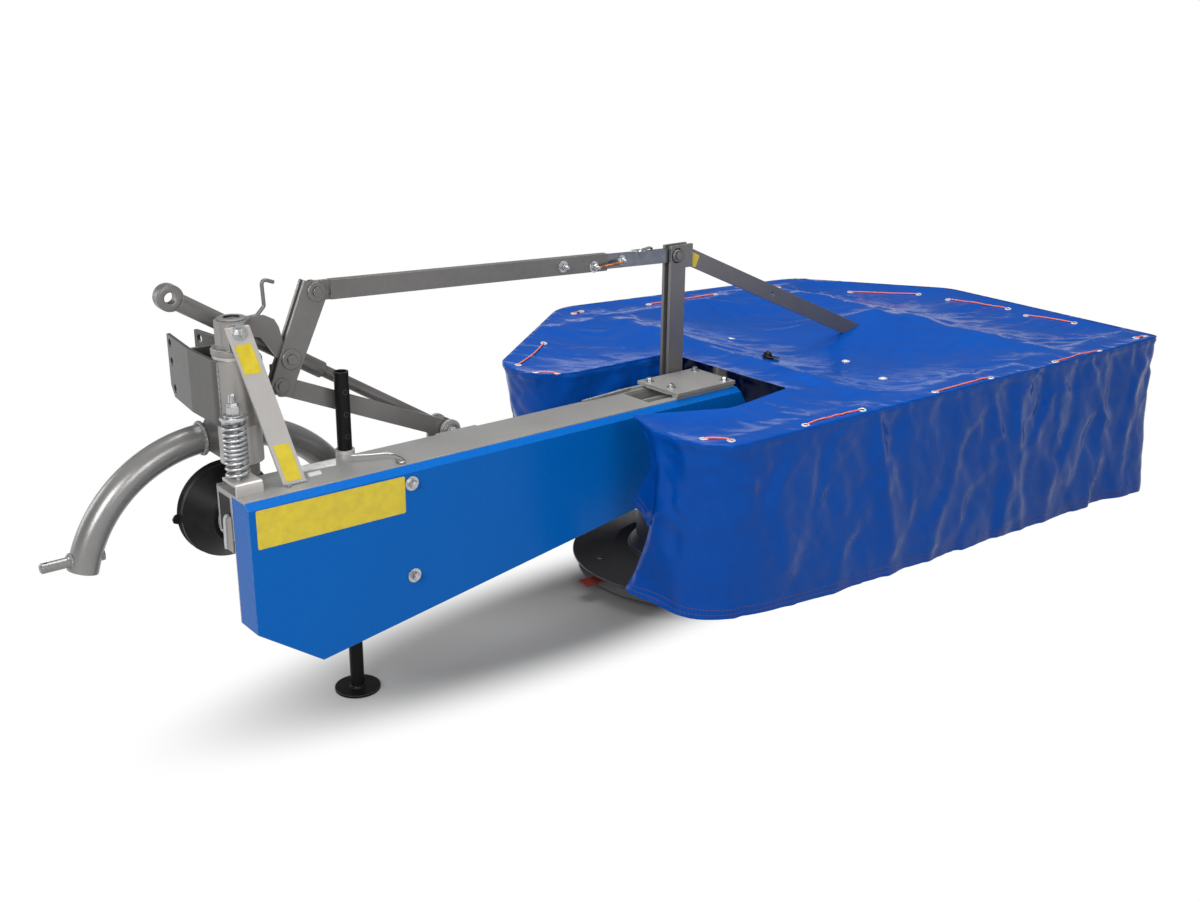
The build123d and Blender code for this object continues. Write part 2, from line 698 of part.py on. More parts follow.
# bracket on the beam's far side: foot plate, two ears and the pin
with BuildPart() as beam_pin_bracket:
    with BuildSketch(facing(beam_far + bracket_foot)):
        with Locations((beam_pin[0], bracket_base + bracket_foot_size[1] / 2 - 1)):
            Rectangle(*bracket_foot_size)
    extrude(amount=bracket_foot)
    with BuildSketch(level(bracket_base)):
        with Locations((beam_pin[0], (beam_far + ear_gaps[1] + ear_thickness) / 2)):
            Rectangle(bracket_base_length, ear_gaps[1] + ear_thickness - beam_far)
    extrude(amount=ear_thickness)
    for ear_far in (ear_gaps[0], ear_gaps[1] + ear_thickness):
        with BuildSketch(facing(ear_far)):
            with Locations((beam_pin[0], (bracket_base + beam_pin[1]) / 2)):
                Rectangle(ear_width, beam_pin[1] - bracket_base)
            with Locations(beam_pin):
                Circle(ear_radius)
        extrude(amount=ear_thickness)
    round_bar(beam_pin, pin_radius, beam_far + bracket_foot, ear_gaps[1] + 2 * ear_thickness)
save(beam_pin_bracket, "beam_pin_bracket")

# upper link: rectangular tube hung on the lever, flat bar sliding inside it
link_run = mast_pin[0] - lever_top_pin[0]
link_rise = mast_pin[1] - lever_top_pin[1]
link_length = hypot(link_run, link_rise)
tube_end = upper_link_end - lever_top_pin[0]
link_start = Plane(origin=point(lever_top_pin[0], link_y, lever_top_pin[1]), x_dir=(0, 1, 0),
                   z_dir=(link_run, 0, link_rise))
with BuildPart() as upper_link_tube:
    with BuildSketch(link_start.offset(tongue)):
        Rectangle(upper_link_depth, upper_link_width)
    extrude(amount=tube_end - tongue)
    with BuildSketch(link_start.offset(tongue + upper_link_plug)):
        Rectangle(upper_link_depth - 2 * upper_link_wall, upper_link_width - 2 * upper_link_wall)
    extrude(amount=tube_end, mode=Mode.SUBTRACT)
    with BuildSketch(link_start):
        Rectangle(bar_thickness, upper_link_width)
    extrude(amount=tongue)
    round_bar(lever_top_pin, upper_link_width / 2, bar_far - bar_thickness, bar_far)
    round_bar(lever_top_pin, pin_radius + running, lever_near, lever_far, Mode.SUBTRACT)
save(upper_link_tube, "upper_link_tube")

bar_half = inner_bar_thickness / 2
with BuildPart() as upper_link_bar:
    with BuildSketch(link_start.offset(tube_end - inner_bar_hidden)):
        Rectangle(inner_bar_thickness, inner_bar_width)
    extrude(amount=link_length - tube_end + inner_bar_hidden)
    round_bar(mast_pin, inner_bar_eye, link_y - bar_half, link_y + bar_half)
    round_bar(mast_pin, mast_eye_hole, link_y - bar_half, link_y + bar_half, Mode.SUBTRACT)
save(upper_link_bar, "upper_link_bar")

# safety stay: rod on the beam pin, tube with a free eye for the tractor
stay_start = point(beam_pin[0], stay_foot_y, beam_pin[1])
stay_end = point(*stay_eye)
stay_dir = (stay_end - stay_start).normalized()
stay_length = (stay_end - stay_start).length
stay_joint = stay_length * (1 - stay_tube_share)
with BuildPart() as stay_rod:
    with BuildSketch(Plane(origin=stay_start, z_dir=stay_dir)):
        Circle(stay_rod_radius)
    extrude(amount=stay_joint)
    round_bar(beam_pin, stay_foot_radius, stay_foot_y - stay_foot_half, stay_foot_y + stay_foot_half)
    round_bar(beam_pin, pin_radius + running, stay_foot_y - 3 * stay_rod_radius, stay_foot_y + 3 * stay_rod_radius,
              Mode.SUBTRACT)
save(stay_rod, "stay_rod")

eye_axis = stay_dir.cross(Vector(0, 0, 1)).normalized()
with BuildPart() as stay_tube:
    with BuildSketch(Plane(origin=stay_start + stay_dir * stay_joint, z_dir=stay_dir)):
        Circle(stay_tube_radius)
    extrude(amount=stay_length - stay_joint - stay_neck)
    with BuildSketch(Plane(origin=stay_end - eye_axis * (stay_eye_width / 2), z_dir=eye_axis)):
        Circle(stay_eye_radius)
    extrude(amount=stay_eye_width)
    with BuildSketch(Plane(origin=stay_end - eye_axis * stay_eye_width, z_dir=eye_axis)):
        Circle(stay_eye_hole)
    extrude(amount=2 * stay_eye_width, mode=Mode.SUBTRACT)
save(stay_tube, "stay_tube")

# rubber block on the lever's far side that the stay rests on
block_drop = stay_tube_radius / sin(radians(57.5))
block_share = (beam_pin[0] - block_x) / (beam_pin[0] - stay_eye[0])
block_top = beam_pin[1] + (stay_eye[2] - beam_pin[1]) * block_share - block_drop - block_clearance
with BuildPart() as stay_rest:
    with BuildSketch(level(block_top - block_height)):
        with Locations((block_x, lever_far + block_reach / 2)):
            Rectangle(block_width, block_reach)
    extrude(amount=block_height)
save(stay_rest, "stay_rest")

with BuildPart() as latch_rod:
    with BuildLine(facing(bar_far + latch_radius)) as latch_path:
        FilletPolyline(*latch_bends, radius=latch_bend_radius)
    with BuildSketch(Plane(origin=latch_path.line @ 0, z_dir=latch_path.line % 0)):
        Circle(latch_radius)
    sweep(path=latch_path.line)
save(latch_rod, "latch_rod")

# ================================================================ drum unit
mast_near = link_y - mast_gap / 2 - mast_plate
mast_far = link_y + mast_gap / 2 + mast_plate
mast_middle = mast_pin[0] + 4.0
with BuildPart() as tilt_journal:
    round_bar((tilt_x, tilt_z), tilt_journal_radius, beam_near - journal_end, mast_near)
    round_bar((tilt_x, tilt_z), tilt_bearing_radius, beam_far + gusset_plate + seat, mast_near)
save(tilt_journal, "tilt_journal")

with BuildPart() as mast:
    for plate_far in (mast_near + mast_plate, mast_far):
        with BuildSketch(facing(plate_far)):
            with Locations((mast_middle, (housing_top + mast_top) / 2)):
                Rectangle(mast_width, mast_top - housing_top)
            with Locations((mast_middle + mast_head_extra / 2, mast_top - mast_head_height / 2)):
                Rectangle(mast_width + mast_head_extra, mast_head_height)
            with Locations((tilt_x, (tilt_z + housing_top) / 2)):
                Rectangle(2 * tilt_bearing_radius, tilt_z - housing_top)
            with Locations((tilt_x, tilt_z)):
                Circle(tilt_bearing_radius)
        extrude(amount=mast_plate)
    # distance tube between the two plates, and the pin that stands through them
    round_bar((tilt_x, tilt_z), tilt_bearing_radius - mast_hub_gap, mast_near, mast_far)
    round_bar(mast_pin, mast_pin_radius, mast_near - mast_pin_end, mast_far + mast_pin_end)
save(mast, "mast")

with BuildPart() as gear_housing:
    with BuildSketch(level(housing_bottom)):
        with Locations(((housing_left + housing_right) / 2, 0)):
            RectangleRounded(housing_right - housing_left, 2 * housing_half_width, housing_corner)
    extrude(amount=housing_top - housing_bottom)
save(gear_housing, "gear_housing")

# diagonal flat bar from the mast head down to a post on the gear housing
foot_end = post_x + post_width / 2
diagonal_foot = (foot_end, diagonal_head[1] + diagonal_slope * (foot_end - diagonal_head[0]))
brace_near = mast_near + mast_plate
brace_far = brace_near + diagonal_thickness
with BuildPart() as mast_brace:
    with BuildSketch(facing(brace_far)):
        with BuildLine():
            Polyline((diagonal_head[0], diagonal_head[1] + diagonal_half),
                     (diagonal_foot[0], diagonal_foot[1] + diagonal_half),
                     (diagonal_foot[0], diagonal_foot[1] - diagonal_half),
                     (diagonal_head[0], diagonal_head[1] - diagonal_half), close=True)
        make_face()
        with Locations(diagonal_hole):
            Circle(diagonal_hole_radius, mode=Mode.SUBTRACT)
    extrude(amount=diagonal_thickness)
save(mast_brace, "mast_brace")

with BuildPart() as brace_post:
    with BuildSketch(level(housing_top)):
        with Locations((post_x, brace_far + post_width / 2)):
            Rectangle(post_width, post_width)
            Rectangle(post_width - 2 * post_wall, post_width - 2 * post_wall, mode=Mode.SUBTRACT)
    extrude(amount=diagonal_foot[1] + diagonal_half - housing_top)
save(brace_post, "brace_post")

# rotors: drum, knife disc and knives turn together on a fixed spindle tube,
# which carries the skid plate at its lower end
for side, axis_x in (("left", left_drum_x), ("right", right_drum_x)):
    axis = Axis(point(axis_x, 0, 0), (0, 0, 1))
    profile_plane = Plane(origin=point(axis_x, 0, 0), x_dir=(1, 0, 0), z_dir=(0, -1, 0))
    bore = spindle_radius + running
    with BuildPart() as drum:
        with BuildSketch(profile_plane):
            with BuildLine():
                Polyline((bore, drum_top), (drum_radius - drum_shoulder, drum_top),
                         (drum_radius, drum_top - drum_shoulder),
                         (drum_radius, drum_bottom + drum_skirt_height),
                         (drum_radius + drum_skirt, drum_bottom),
                         (drum_radius + drum_skirt - drum_wall, drum_bottom),
                         (drum_radius - drum_wall, drum_bottom + drum_skirt_height - 1),
                         (drum_radius - drum_wall, drum_top - drum_shoulder + 2),
                         (drum_radius - drum_shoulder - 2, drum_top - drum_wall),
                         (bore + hub_wall, drum_top - drum_wall), (bore + hub_wall, drum_top - hub_length),
                         (bore, drum_top - hub_length), close=True)
            make_face()
        revolve(axis=axis)
    save(drum, f"drum_{side}")

    with BuildPart() as disc:
        with BuildSketch(profile_plane):
            with BuildLine():
                Polyline((bore, drum_bottom), (disc_flat_radius, drum_bottom), (disc_radius, disc_rim_height),
                         (disc_radius, disc_rim_height - disc_sheet),
                         (disc_flat_radius, drum_bottom - disc_sheet),
                         (bore, drum_bottom - disc_sheet), close=True)
            make_face()
        revolve(axis=axis)
    save(disc, f"knife_disc_{side}")

    rim_fall = (drum_bottom - disc_rim_height) / (disc_radius - disc_flat_radius)
    bolt_outside_flat = knife_bolt_radius + knife_stud_radius - disc_flat_radius
    disc_under = drum_bottom - disc_sheet - rim_fall * bolt_outside_flat
    with BuildPart() as knives:
        for turn in range(knives_per_disc):
            angle = knife_angle + 360 / knives_per_disc * turn
            out = Vector(cos(radians(angle)), sin(radians(angle)), 0)
            bolt = point(axis_x, 0, knife_height) + out * knife_bolt_radius
            with BuildSketch(Plane(origin=bolt, x_dir=out, z_dir=(0, 0, 1))):
                with Locations((knife_length / 2 - knife_tail, 0)):
                    Rectangle(knife_length, knife_width)
            extrude(amount=knife_thickness)
            with BuildSketch(Plane(origin=bolt, x_dir=out, z_dir=(0, 0, 1))):
                Circle(knife_stud_radius)
            extrude(amount=disc_under - knife_height)
    save(knives, f"knives_{side}")

    with BuildPart() as skid:
        with BuildSketch(profile_plane):
            with BuildLine():
                Polyline((0, 0), (skid_flat_radius, 0), (skid_radius, skid_rim_height),
                         (skid_radius, skid_rim_height + skid_sheet), (skid_flat_radius, skid_sheet),
                         (0, skid_sheet), close=True)
            make_face()
        revolve(axis=axis)
    save(skid, f"skid_{side}")

    with BuildPart() as spindle:
        upright_bar((axis_x, 0), spindle_radius, skid_sheet, housing_bottom)
    save(spindle, f"spindle_{side}")

# ------------------------------------------------------------- tarpaulin cover
# two rails along the machine lie on two bearers, each on its own post
pipe_radius = frame_pipe / 2
rail_z = tarp_top - tarp_sheet - pipe_radius
bearer_z = rail_z - frame_pipe
for label, (rail_y, rail_from, rail_to) in rails.items():
    with BuildPart() as rail:
        with BuildSketch(across(rail_from)):
            with Locations((rail_y, rail_z)):
                Circle(pipe_radius)
        extrude(amount=rail_to - rail_from)
    save(rail, label)

for label, (bearer_x, bearer_from, bearer_to) in bearers.items():
    with BuildPart() as bearer:
        round_bar((bearer_x, bearer_z), pipe_radius, bearer_from, bearer_to)
        upright_bar((bearer_x, bearer_post_y), bearer_post_radius, housing_top, bearer_z)
    save(bearer, label)

with BuildPart() as cover_top:
    with BuildSketch(level(tarp_top - tarp_sheet)):
        with BuildLine():
            Polyline(*cover_corners, close=True)
        make_face()
        with Locations(((slot_from + slot_to) / 2, (brace_near + brace_far) / 2)):
            Rectangle(slot_to - slot_from, slot_width, mode=Mode.SUBTRACT)
    extrude(amount=tarp_sheet)
save(cover_top, "cover_top")

# one flat wall of cloth for each straight stretch of the rim
for label, (first, last) in skirt_walls.items():
    start = point(*cover_corners[first], skirt_bottom)
    end = point(*cover_corners[last], skirt_bottom)
    inward = -1 if label == "skirt_front_left" else 1
    with BuildPart() as wall:
        with BuildSketch(Plane(origin=start, x_dir=end - start, z_dir=(0, 0, 1))):
            with Locations(((end - start).length / 2, inward * (skirt_sheet / 2 + skirt_inset))):
                Rectangle((end - start).length - 2 * skirt_end_gap, skirt_sheet)
        extrude(amount=tarp_top - tarp_sheet - skirt_bottom)
    save(wall, label)
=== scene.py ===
import math
import bmesh
import bpy
from mathutils import Matrix, Vector, noise
from mathutils.bvhtree import BVHTree
from mathutils.geometry import delaunay_2d_cdt


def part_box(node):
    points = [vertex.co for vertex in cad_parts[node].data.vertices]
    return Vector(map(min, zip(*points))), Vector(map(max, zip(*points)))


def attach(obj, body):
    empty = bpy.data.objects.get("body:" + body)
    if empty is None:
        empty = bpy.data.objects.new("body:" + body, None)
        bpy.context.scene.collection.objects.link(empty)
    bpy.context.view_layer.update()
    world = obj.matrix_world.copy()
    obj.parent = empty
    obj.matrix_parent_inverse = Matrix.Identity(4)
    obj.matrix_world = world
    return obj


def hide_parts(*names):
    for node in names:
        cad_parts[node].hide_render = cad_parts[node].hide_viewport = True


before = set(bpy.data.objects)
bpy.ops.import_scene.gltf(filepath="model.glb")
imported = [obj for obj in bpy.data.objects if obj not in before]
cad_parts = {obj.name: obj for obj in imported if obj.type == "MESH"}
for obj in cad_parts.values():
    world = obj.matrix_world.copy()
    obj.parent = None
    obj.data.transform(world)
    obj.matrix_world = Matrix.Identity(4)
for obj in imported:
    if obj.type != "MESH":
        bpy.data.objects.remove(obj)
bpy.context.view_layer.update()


# ---------------------------------------------------------------- headstock
# The headstock is a thick turned column with a folded bracket for the tractor's top link and a bent
# pipe arch that carries the two lower hitch pins. All of it is welded steel under thin grey and
# silver paint, and the welds show bright through it.
lowest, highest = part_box("headstock_column")
column_axis = Vector(((lowest.x + highest.x) / 2, (lowest.y + highest.y) / 2, 0))


def at(x, y, z):
    """A point in metres, given in millimetres from the swivel column's axis and the floor."""
    return column_axis + Vector((x, y, z)) / 1000


class Wire:
    """A node socket that takes part in sums, adding the Math nodes it needs."""

    def __init__(self, nodes, socket):
        self.nodes = nodes
        self.socket = socket

    def maths(self, operation, *values):
        return self.nodes.node("Math", {"operation": operation}, dict(enumerate(values)))

    def __add__(self, other):
        return self.maths("ADD", self, other)

    def __sub__(self, other):
        return self.maths("SUBTRACT", self, other)

    def __rsub__(self, other):
        return self.maths("SUBTRACT", other, self)

    def __mul__(self, other):
        return self.maths("MULTIPLY", self, other)

    def __pow__(self, other):
        return self.maths("POWER", self, other)

    __radd__ = __add__
    __rmul__ = __mul__


class Nodes:
    """A node tree being filled, one node at a time."""

    def __init__(self, tree):
        self.tree = tree
        self.tree.nodes.clear()

    def node(self, kind, settings=None, sockets=None, output=0):
        """Adds a shader node with its settings, then the values or links of its sockets."""
        made = self.tree.nodes.new("ShaderNode" + kind)
        for name, value in (settings or {}).items():
            if name != "stops":
                setattr(made, name, value)
                continue
            elements = made.color_ramp.elements
            while len(elements) < len(value):
                elements.new(1)
            for element, (position, colour) in zip(elements, value):
                element.position = position
                element.color = (*colour, 1)
        for name, value in (sockets or {}).items():
            self.plug(made.inputs[name], value)
        return Wire(self, made.outputs[output]) if len(made.outputs) else None

    def plug(self, socket, value):
        if isinstance(value, Wire):
            self.tree.links.new(value.socket, socket)
        else:
            socket.default_value = value


class Finish(Nodes):
    """A material being made: its nodes, its shader and the record's slot that it belongs to."""

    def __init__(self, name, slot, **constants):
        self.slot = slot
        self.material = bpy.data.materials.new(name)
        self.material.use_nodes = True
        super().__init__(self.material.node_tree)
        self.shader = self.tree.nodes.new("ShaderNodeBsdfPrincipled")
        self.output = self.tree.nodes.new("ShaderNodeOutputMaterial")
        self.tree.links.new(self.shader.outputs[0], self.output.inputs[0])
        self.place = self.node("TexCoord", output="Object")
        self.into(**constants)

    def into(self, **sockets):
        """Sets or links sockets of the shader, named with underscores for spaces."""
        for name, value in sockets.items():
            self.plug(self.shader.inputs[name.replace("_", " ")], value)


def cloud(finish, scale, detail=2.0, **more):
    """A noise over the piece, in its own frame."""
    return finish.node("TexNoise", {}, {
        "Vector": finish.place, "Scale": scale, "Detail": detail, **more})


def blend(finish, share, under, over):
    """One colour laid over another by a share from 0 to 1."""
    under, over = [colour if isinstance(colour, Wire) else (*colour, 1) for colour in (under, over)]
    return finish.node("Mix", {"data_type": "RGBA"}, {0: share, 6: under, 7: over}, output=2)


def relief(finish, height, strength, depth, **more):
    """Small ups and downs of the surface, their depth in metres."""
    return finish.node("Bump", {}, {
        "Height": height, "Strength": strength, "Distance": depth, **more})


def painted(name, slot, colour, dark, bare, roughness, metallic, peel=0.03, rub=1.0, edge=0.0012,
            shine=0.35):
    """Sprayed paint: cloudy colour, a fine orange peel, rounded edges and steel rubbed bare on them.

    Peel is in millimetres, edge is the radius of an edge in metres, and rub is how worn the edges are.
    """
    paint = Finish(name, slot, Metallic=metallic, Specular_IOR_Level=shine)
    clouds = cloud(paint, 5.0, 5.0, Roughness=0.6)
    speckle = cloud(paint, 60.0, 6.0, Roughness=0.7)
    grain = cloud(paint, 900.0)
    rounded = paint.node("Bevel", {"samples": 4}, {"Radius": edge})
    flat = paint.node("NewGeometry", output="Normal")
    turned = paint.node("VectorMath", {"operation": "DOT_PRODUCT"}, {0: rounded, 1: flat},
                        output="Value")
    chipped = paint.node("MapRange", {}, {
        "Value": (1 - turned) * (speckle * 2.2) * rub, "From Min": 0.03, "From Max": 0.22})
    body = blend(paint, clouds * 1.6 + speckle * 0.5 - 0.55, colour, dark)
    paint.into(
        Base_Color=blend(paint, chipped, body, bare),
        Roughness=speckle * 0.14 + (roughness - 0.07),
        Normal=relief(paint, grain + speckle * 1.4, 1.0, peel / 1000, Normal=rounded))
    return paint


def zinc_coat(name, colour, roughness):
    """Zinc plating on a turned or pressed part: a mottled, slightly milky metal."""
    plating = Finish(name, "zinc", Metallic=1.0)
    mottle = plating.node("TexVoronoi", {}, {"Vector": plating.place, "Scale": 260.0})
    haze = cloud(plating, 40.0, 5.0)
    rounded = plating.node("Bevel", {"samples": 4}, {"Radius": 0.0007})
    plating.into(
        Base_Color=blend(plating, haze * 0.7 + mottle * 0.5, colour, [part * 0.62 for part in colour]),
        Roughness=haze * 0.25 + (roughness - 0.1),
        Normal=relief(plating, haze + mottle, 0.5, 0.0001, Normal=rounded))
    return plating


def mottled(name, slot, scale, detail, stops, roughness, ups=None, **constants):
    """A finish under one noise, with colours at its stops.

    Roughness is (swing, least), and ups is (strength, depth) of the noise as a relief.
    """
    finish = Finish(name, slot, **constants)
    spots = cloud(finish, scale, detail)
    finish.into(Base_Color=finish.node("ValToRGB", {"stops": stops}, {"Fac": spots}),
                Roughness=spots * roughness[0] + roughness[1])
    if ups:
        finish.into(Normal=relief(finish, spots, *ups))
    return finish


silver_paint = painted("silver paint", "grey_paint", (0.52, 0.50, 0.48), (0.42, 0.405, 0.39),
                       (0.6, 0.6, 0.6), 0.38, 0.4)
arch_paint = painted("grey arch paint", "grey_paint", (0.27, 0.266, 0.263), (0.2, 0.197, 0.194),
                     (0.5, 0.5, 0.5), 0.3, 0.5, peel=0.006, rub=0.35)
zinc = zinc_coat("zinc plating", (0.62, 0.63, 0.64), 0.32)
weld_bare = mottled("weld seam", "grey_paint", 350.0, 4.0,
                    [(0.3, (0.12, 0.12, 0.125)), (0.75, (0.38, 0.38, 0.39))],
                    (0.3, 0.3), (0.7, 0.0004), Metallic=0.6)


def placed(name, data):
    """A new object of the scene, which holds a mesh, a curve, a lamp or a camera."""
    thing = bpy.data.objects.new(name, data)
    bpy.context.collection.objects.link(thing)
    return thing


def face_outward(mesh, join=0.0):
    """Turns the faces of a mesh outward, after joining its points that lie closer than join."""
    edited = bmesh.new()
    edited.from_mesh(mesh)
    if join:
        bmesh.ops.remove_doubles(edited, verts=edited.verts, dist=join)
    bmesh.ops.recalc_face_normals(edited, faces=edited.faces)
    edited.to_mesh(mesh)
    edited.free()


class Shape:
    """Points in millimetres and faces, gathered from turned, swept and cut pieces."""

    def __init__(self, name):
        self.name = name
        self.points = []
        self.faces = []

    def skin(self, first, rings, around):
        """Joins rings of points, each of which has as many points as around says."""
        for ring in range(rings - 1):
            for step in range(around):
                here = first + ring * around + step
                beside = first + ring * around + (step + 1) % around
                self.faces.append((here, beside, beside + around, here + around))

    def turn(self, profile, centre, along=(0, 0, 1), turns=32, twist=0.0):
        """A turned piece: profile is (radius, distance along the axis)."""
        facing = Vector((0, 0, 1)).rotation_difference(Vector(along).normalized())
        first = len(self.points)
        for radius, distance in profile:
            for step in range(turns):
                angle = twist + step * math.tau / turns
                arm = Vector((radius * math.cos(angle), radius * math.sin(angle), distance))
                self.points.append(Vector(centre) + facing @ arm)
        self.skin(first, len(profile), turns)
        return self

    def sweep(self, path, radius, sides=10, swell=None):
        """A round bar along a path; swell(i) scales its radius at point i."""
        first = len(self.points)
        path = [Vector(point) for point in path]
        side = None
        for index, point in enumerate(path):
            ahead = path[min(index + 1, len(path) - 1)] - path[max(index - 1, 0)]
            if side is None:
                side = ahead.orthogonal()
            side = (side - side.project(ahead)).normalized()
            other = ahead.normalized().cross(side)
            reach = radius * (swell(index) if swell else 1)
            for step in range(sides):
                angle = step * math.tau / sides
                self.points.append(point + (side * math.cos(angle) + other * math.sin(angle)) * reach)
        self.skin(first, len(path), sides)
        last = len(self.points) - sides
        self.faces.append(tuple(range(first, first + sides)))
        self.faces.append(tuple(range(last, last + sides)))
        return self

    def cut(self, outline, depth):
        """A plate cut to an outline of points, depth being its thickness as a vector."""
        first = len(self.points)
        count = len(outline)
        self.points += [Vector(point) for point in outline]
        self.points += [Vector(point) + Vector(depth) for point in outline]
        self.faces.append(tuple(range(first, first + count)))
        self.faces.append(tuple(range(first + 2 * count - 1, first + count - 1, -1)))
        for step in range(count):
            here, beside = first + step, first + (step + 1) % count
            self.faces.append((here, here + count, beside + count, beside))
        return self

    def bolt(self, centre, along=(0, 0, 1), across=13.0, stud=0.0, twist=0.3):
        """A hexagon head or nut on a washer, with the threaded end that stands past a nut."""
        half = across / 2 / math.cos(math.pi / 6)
        thick = across * 0.13
        high = across * 0.62
        top = thick + high
        self.turn([(0, 0), (across * 0.95, 0), (across * 0.95, thick), (0, thick)], centre, along)
        self.turn([(half, thick), (half, thick + high * 0.8), (half * 0.88, top), (0, top)],
                  centre, along, turns=6, twist=twist)
        if stud:
            core = across * 0.27
            pitch = across * 0.11
            thread = [(core, thick + high * 0.9)]
            for ridge in range(int(stud / pitch)):
                level = top + ridge * pitch
                thread += [(core * 0.88, level), (core, level + pitch / 2)]
            self.turn(thread + [(0, thread[-1][1] + 0.4)], centre, along, turns=16)
        return self

    def done(self, finish, body, crease=35):
        """The finished piece, riding on its body; edges sharper than crease degrees stay sharp."""
        mesh = bpy.data.meshes.new(self.name)
        mesh.from_pydata([at(*point) for point in self.points], [], self.faces)
        mesh.validate()
        piece = placed(self.name, mesh)
        face_outward(mesh, join=0.00001)
        mesh.shade_smooth()
        mesh.set_sharp_from_angle(angle=math.radians(crease))
        mesh.materials.append(finish.material)
        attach(piece, body)
        return piece


def coat(finish, *nodes):
    """Gives CAD pieces their finish."""
    for node in nodes:
        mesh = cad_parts[node].data
        mesh.materials.clear()
        mesh.materials.append(finish.material)


def run(start, end, spacing=2.2):
    """Points along a straight run, a weld ripple apart."""
    start, end = Vector(start), Vector(end)
    count = max(2, int((end - start).length / spacing))
    return [start.lerp(end, step / count) for step in range(count + 1)]


def ripple(index):
    """The scaly thickness of a weld laid by hand."""
    return 1 + 0.16 * math.sin(index * 2.4) + 0.12 * noise.noise(Vector((index * 0.37, 1.3, 0)))


def circle(steps, sweep=360.0, start=0.0):
    """The cosine and sine of steps + 1 angles along an arc, which is given in degrees."""
    angles = [math.radians(start + sweep * step / steps) for step in range(steps + 1)]
    return [(math.cos(angle), math.sin(angle)) for angle in angles]


coat(silver_paint, "headstock_column")
coat(arch_paint, "hitch_arch", "hitch_pin_left", "hitch_pin_right")
bracket_paint = painted("bracket paint", "grey_paint", (0.088, 0.085, 0.083), (0.064, 0.062, 0.06),
                        (0.3, 0.29, 0.28), 0.36, 0.45, peel=0.025)
# the bracket's strap, round the rear of the column, was sprayed with the column
seam_x, seam_y, seam_low, seam_high = 47.5, -22.1, 697.0, 830.0
forward = bracket_paint.node("SeparateXYZ", {}, {"Vector": bracket_paint.place}, output="Y")
on_strap = forward.maths("LESS_THAN", forward, column_axis.y + seam_y / 1000)
plate_colour = Wire(bracket_paint, bracket_paint.shader.inputs["Base Color"].links[0].from_socket)
bracket_paint.into(Base_Color=blend(bracket_paint, on_strap * 0.9, plate_colour, (0.30, 0.287, 0.272)))
coat(bracket_paint, "top_link_bracket", "arch_saddle")
cap_paint = painted("cap paint", "grey_paint", (0.26, 0.25, 0.24), (0.2, 0.193, 0.186),
                    (0.5, 0.5, 0.5), 0.34, 0.4)

column_radius, column_foot_weld = 44.45, 694.0
collar = [(34.6, 838), (44.4, 838), (46.5, 840), (46.5, 849), (43, 852.4), (34.6, 852.4)]
Shape("column_collar").turn(collar, (0, 0, 0), turns=64).done(cap_paint, "headstock")

arch_y, arch_z, arch_pipe = 120.0, 632.0, 33.0
saddle_side = 37.0
welds = Shape("headstock_welds")
for side in (-1, 1):
    welds.sweep(run((side * seam_x, seam_y, seam_low), (side * seam_x, seam_y, seam_high)), 2.4, 8, ripple)
    welds.sweep([(side * saddle_side, arch_y + arch_pipe * across, arch_z + arch_pipe * up)
                 for across, up in circle(100)], 4.6, 8, ripple)
welds.sweep([(column_radius * across, column_radius * along, column_foot_weld)
             for across, along in circle(51, 137.7, 20)], 3.2, 8, ripple)
welds.done(weld_bare, "headstock")

pin_x, pin_z, pin_weld = 334.5, 427.0, 14.0
for side, name in ((-1, "left"), (1, "right")):
    ring = [(side * pin_x, arch_y + pin_weld * across, pin_z + pin_weld * up) for across, up in circle(40)]
    Shape("hitch_weld_" + name).sweep(ring, 4, 8, ripple).done(arch_paint, "headstock")


# ------------------------------------------------------- swivel cap and brace
# The swinging frame turns on a pin inside the column. Its head is a chamfered nut-shaped cap, and a
# flat-bar brace runs from it down to the beam, with a bolt through its folded top end.
coat(cap_paint, "swivel_pin", "swivel_cap")
coat(silver_paint, "swivel_brace")
washer = [(17, 0), (29, 0), (30, 1), (30, 3), (27, 4.2), (17, 4.2)]
Shape("cap_washer").turn(washer, (0, 0, 909), turns=48).done(cap_paint, "swing_frame")

brace_foot, brace_head = Vector((54, -122, 579)), Vector((-14, -54, 905))
brace_up = (brace_head - brace_foot).normalized()
brace_out = Vector((0, -0.979, 0.204))
brace_skin, film_thick = 4.2, 0.4
Shape("cap_bolt").bolt((-12, -60.4, 894), brace_out, 17, 6).done(zinc, "swing_frame")
yellow_film = mottled("blank yellow film", None, 55.0, 6.0,
                      [(0.3, (0.55, 0.42, 0.012)), (0.7, (0.66, 0.515, 0.018))],
                      (0.3, 0.2), (0.25, 0.0002), Coat_Weight=0.4, Coat_Roughness=0.1)


def label(name, corners, lift, finish, body):
    """A blank film label: a thin plate with rounded corners, its four corners given in order."""
    corners = [Vector(corner) for corner in corners]
    rounded = []
    for index, corner in enumerate(corners):
        before = (corners[index - 1] - corner).normalized() * 4
        after = (corners[(index + 1) % 4] - corner).normalized() * 4
        for share in (0, 0.3, 0.7, 1):
            rounded.append(corner + before * (1 - share) ** 2 + after * share ** 2)
    return Shape(name).cut(rounded, lift).done(finish, body)


def on_brace(along_bar, across_bar):
    """A point on the brace's outer face: millimetres up from its foot, and off its middle line."""
    return brace_foot + brace_up * along_bar + Vector((1, 0, 0)) * across_bar + brace_out * brace_skin


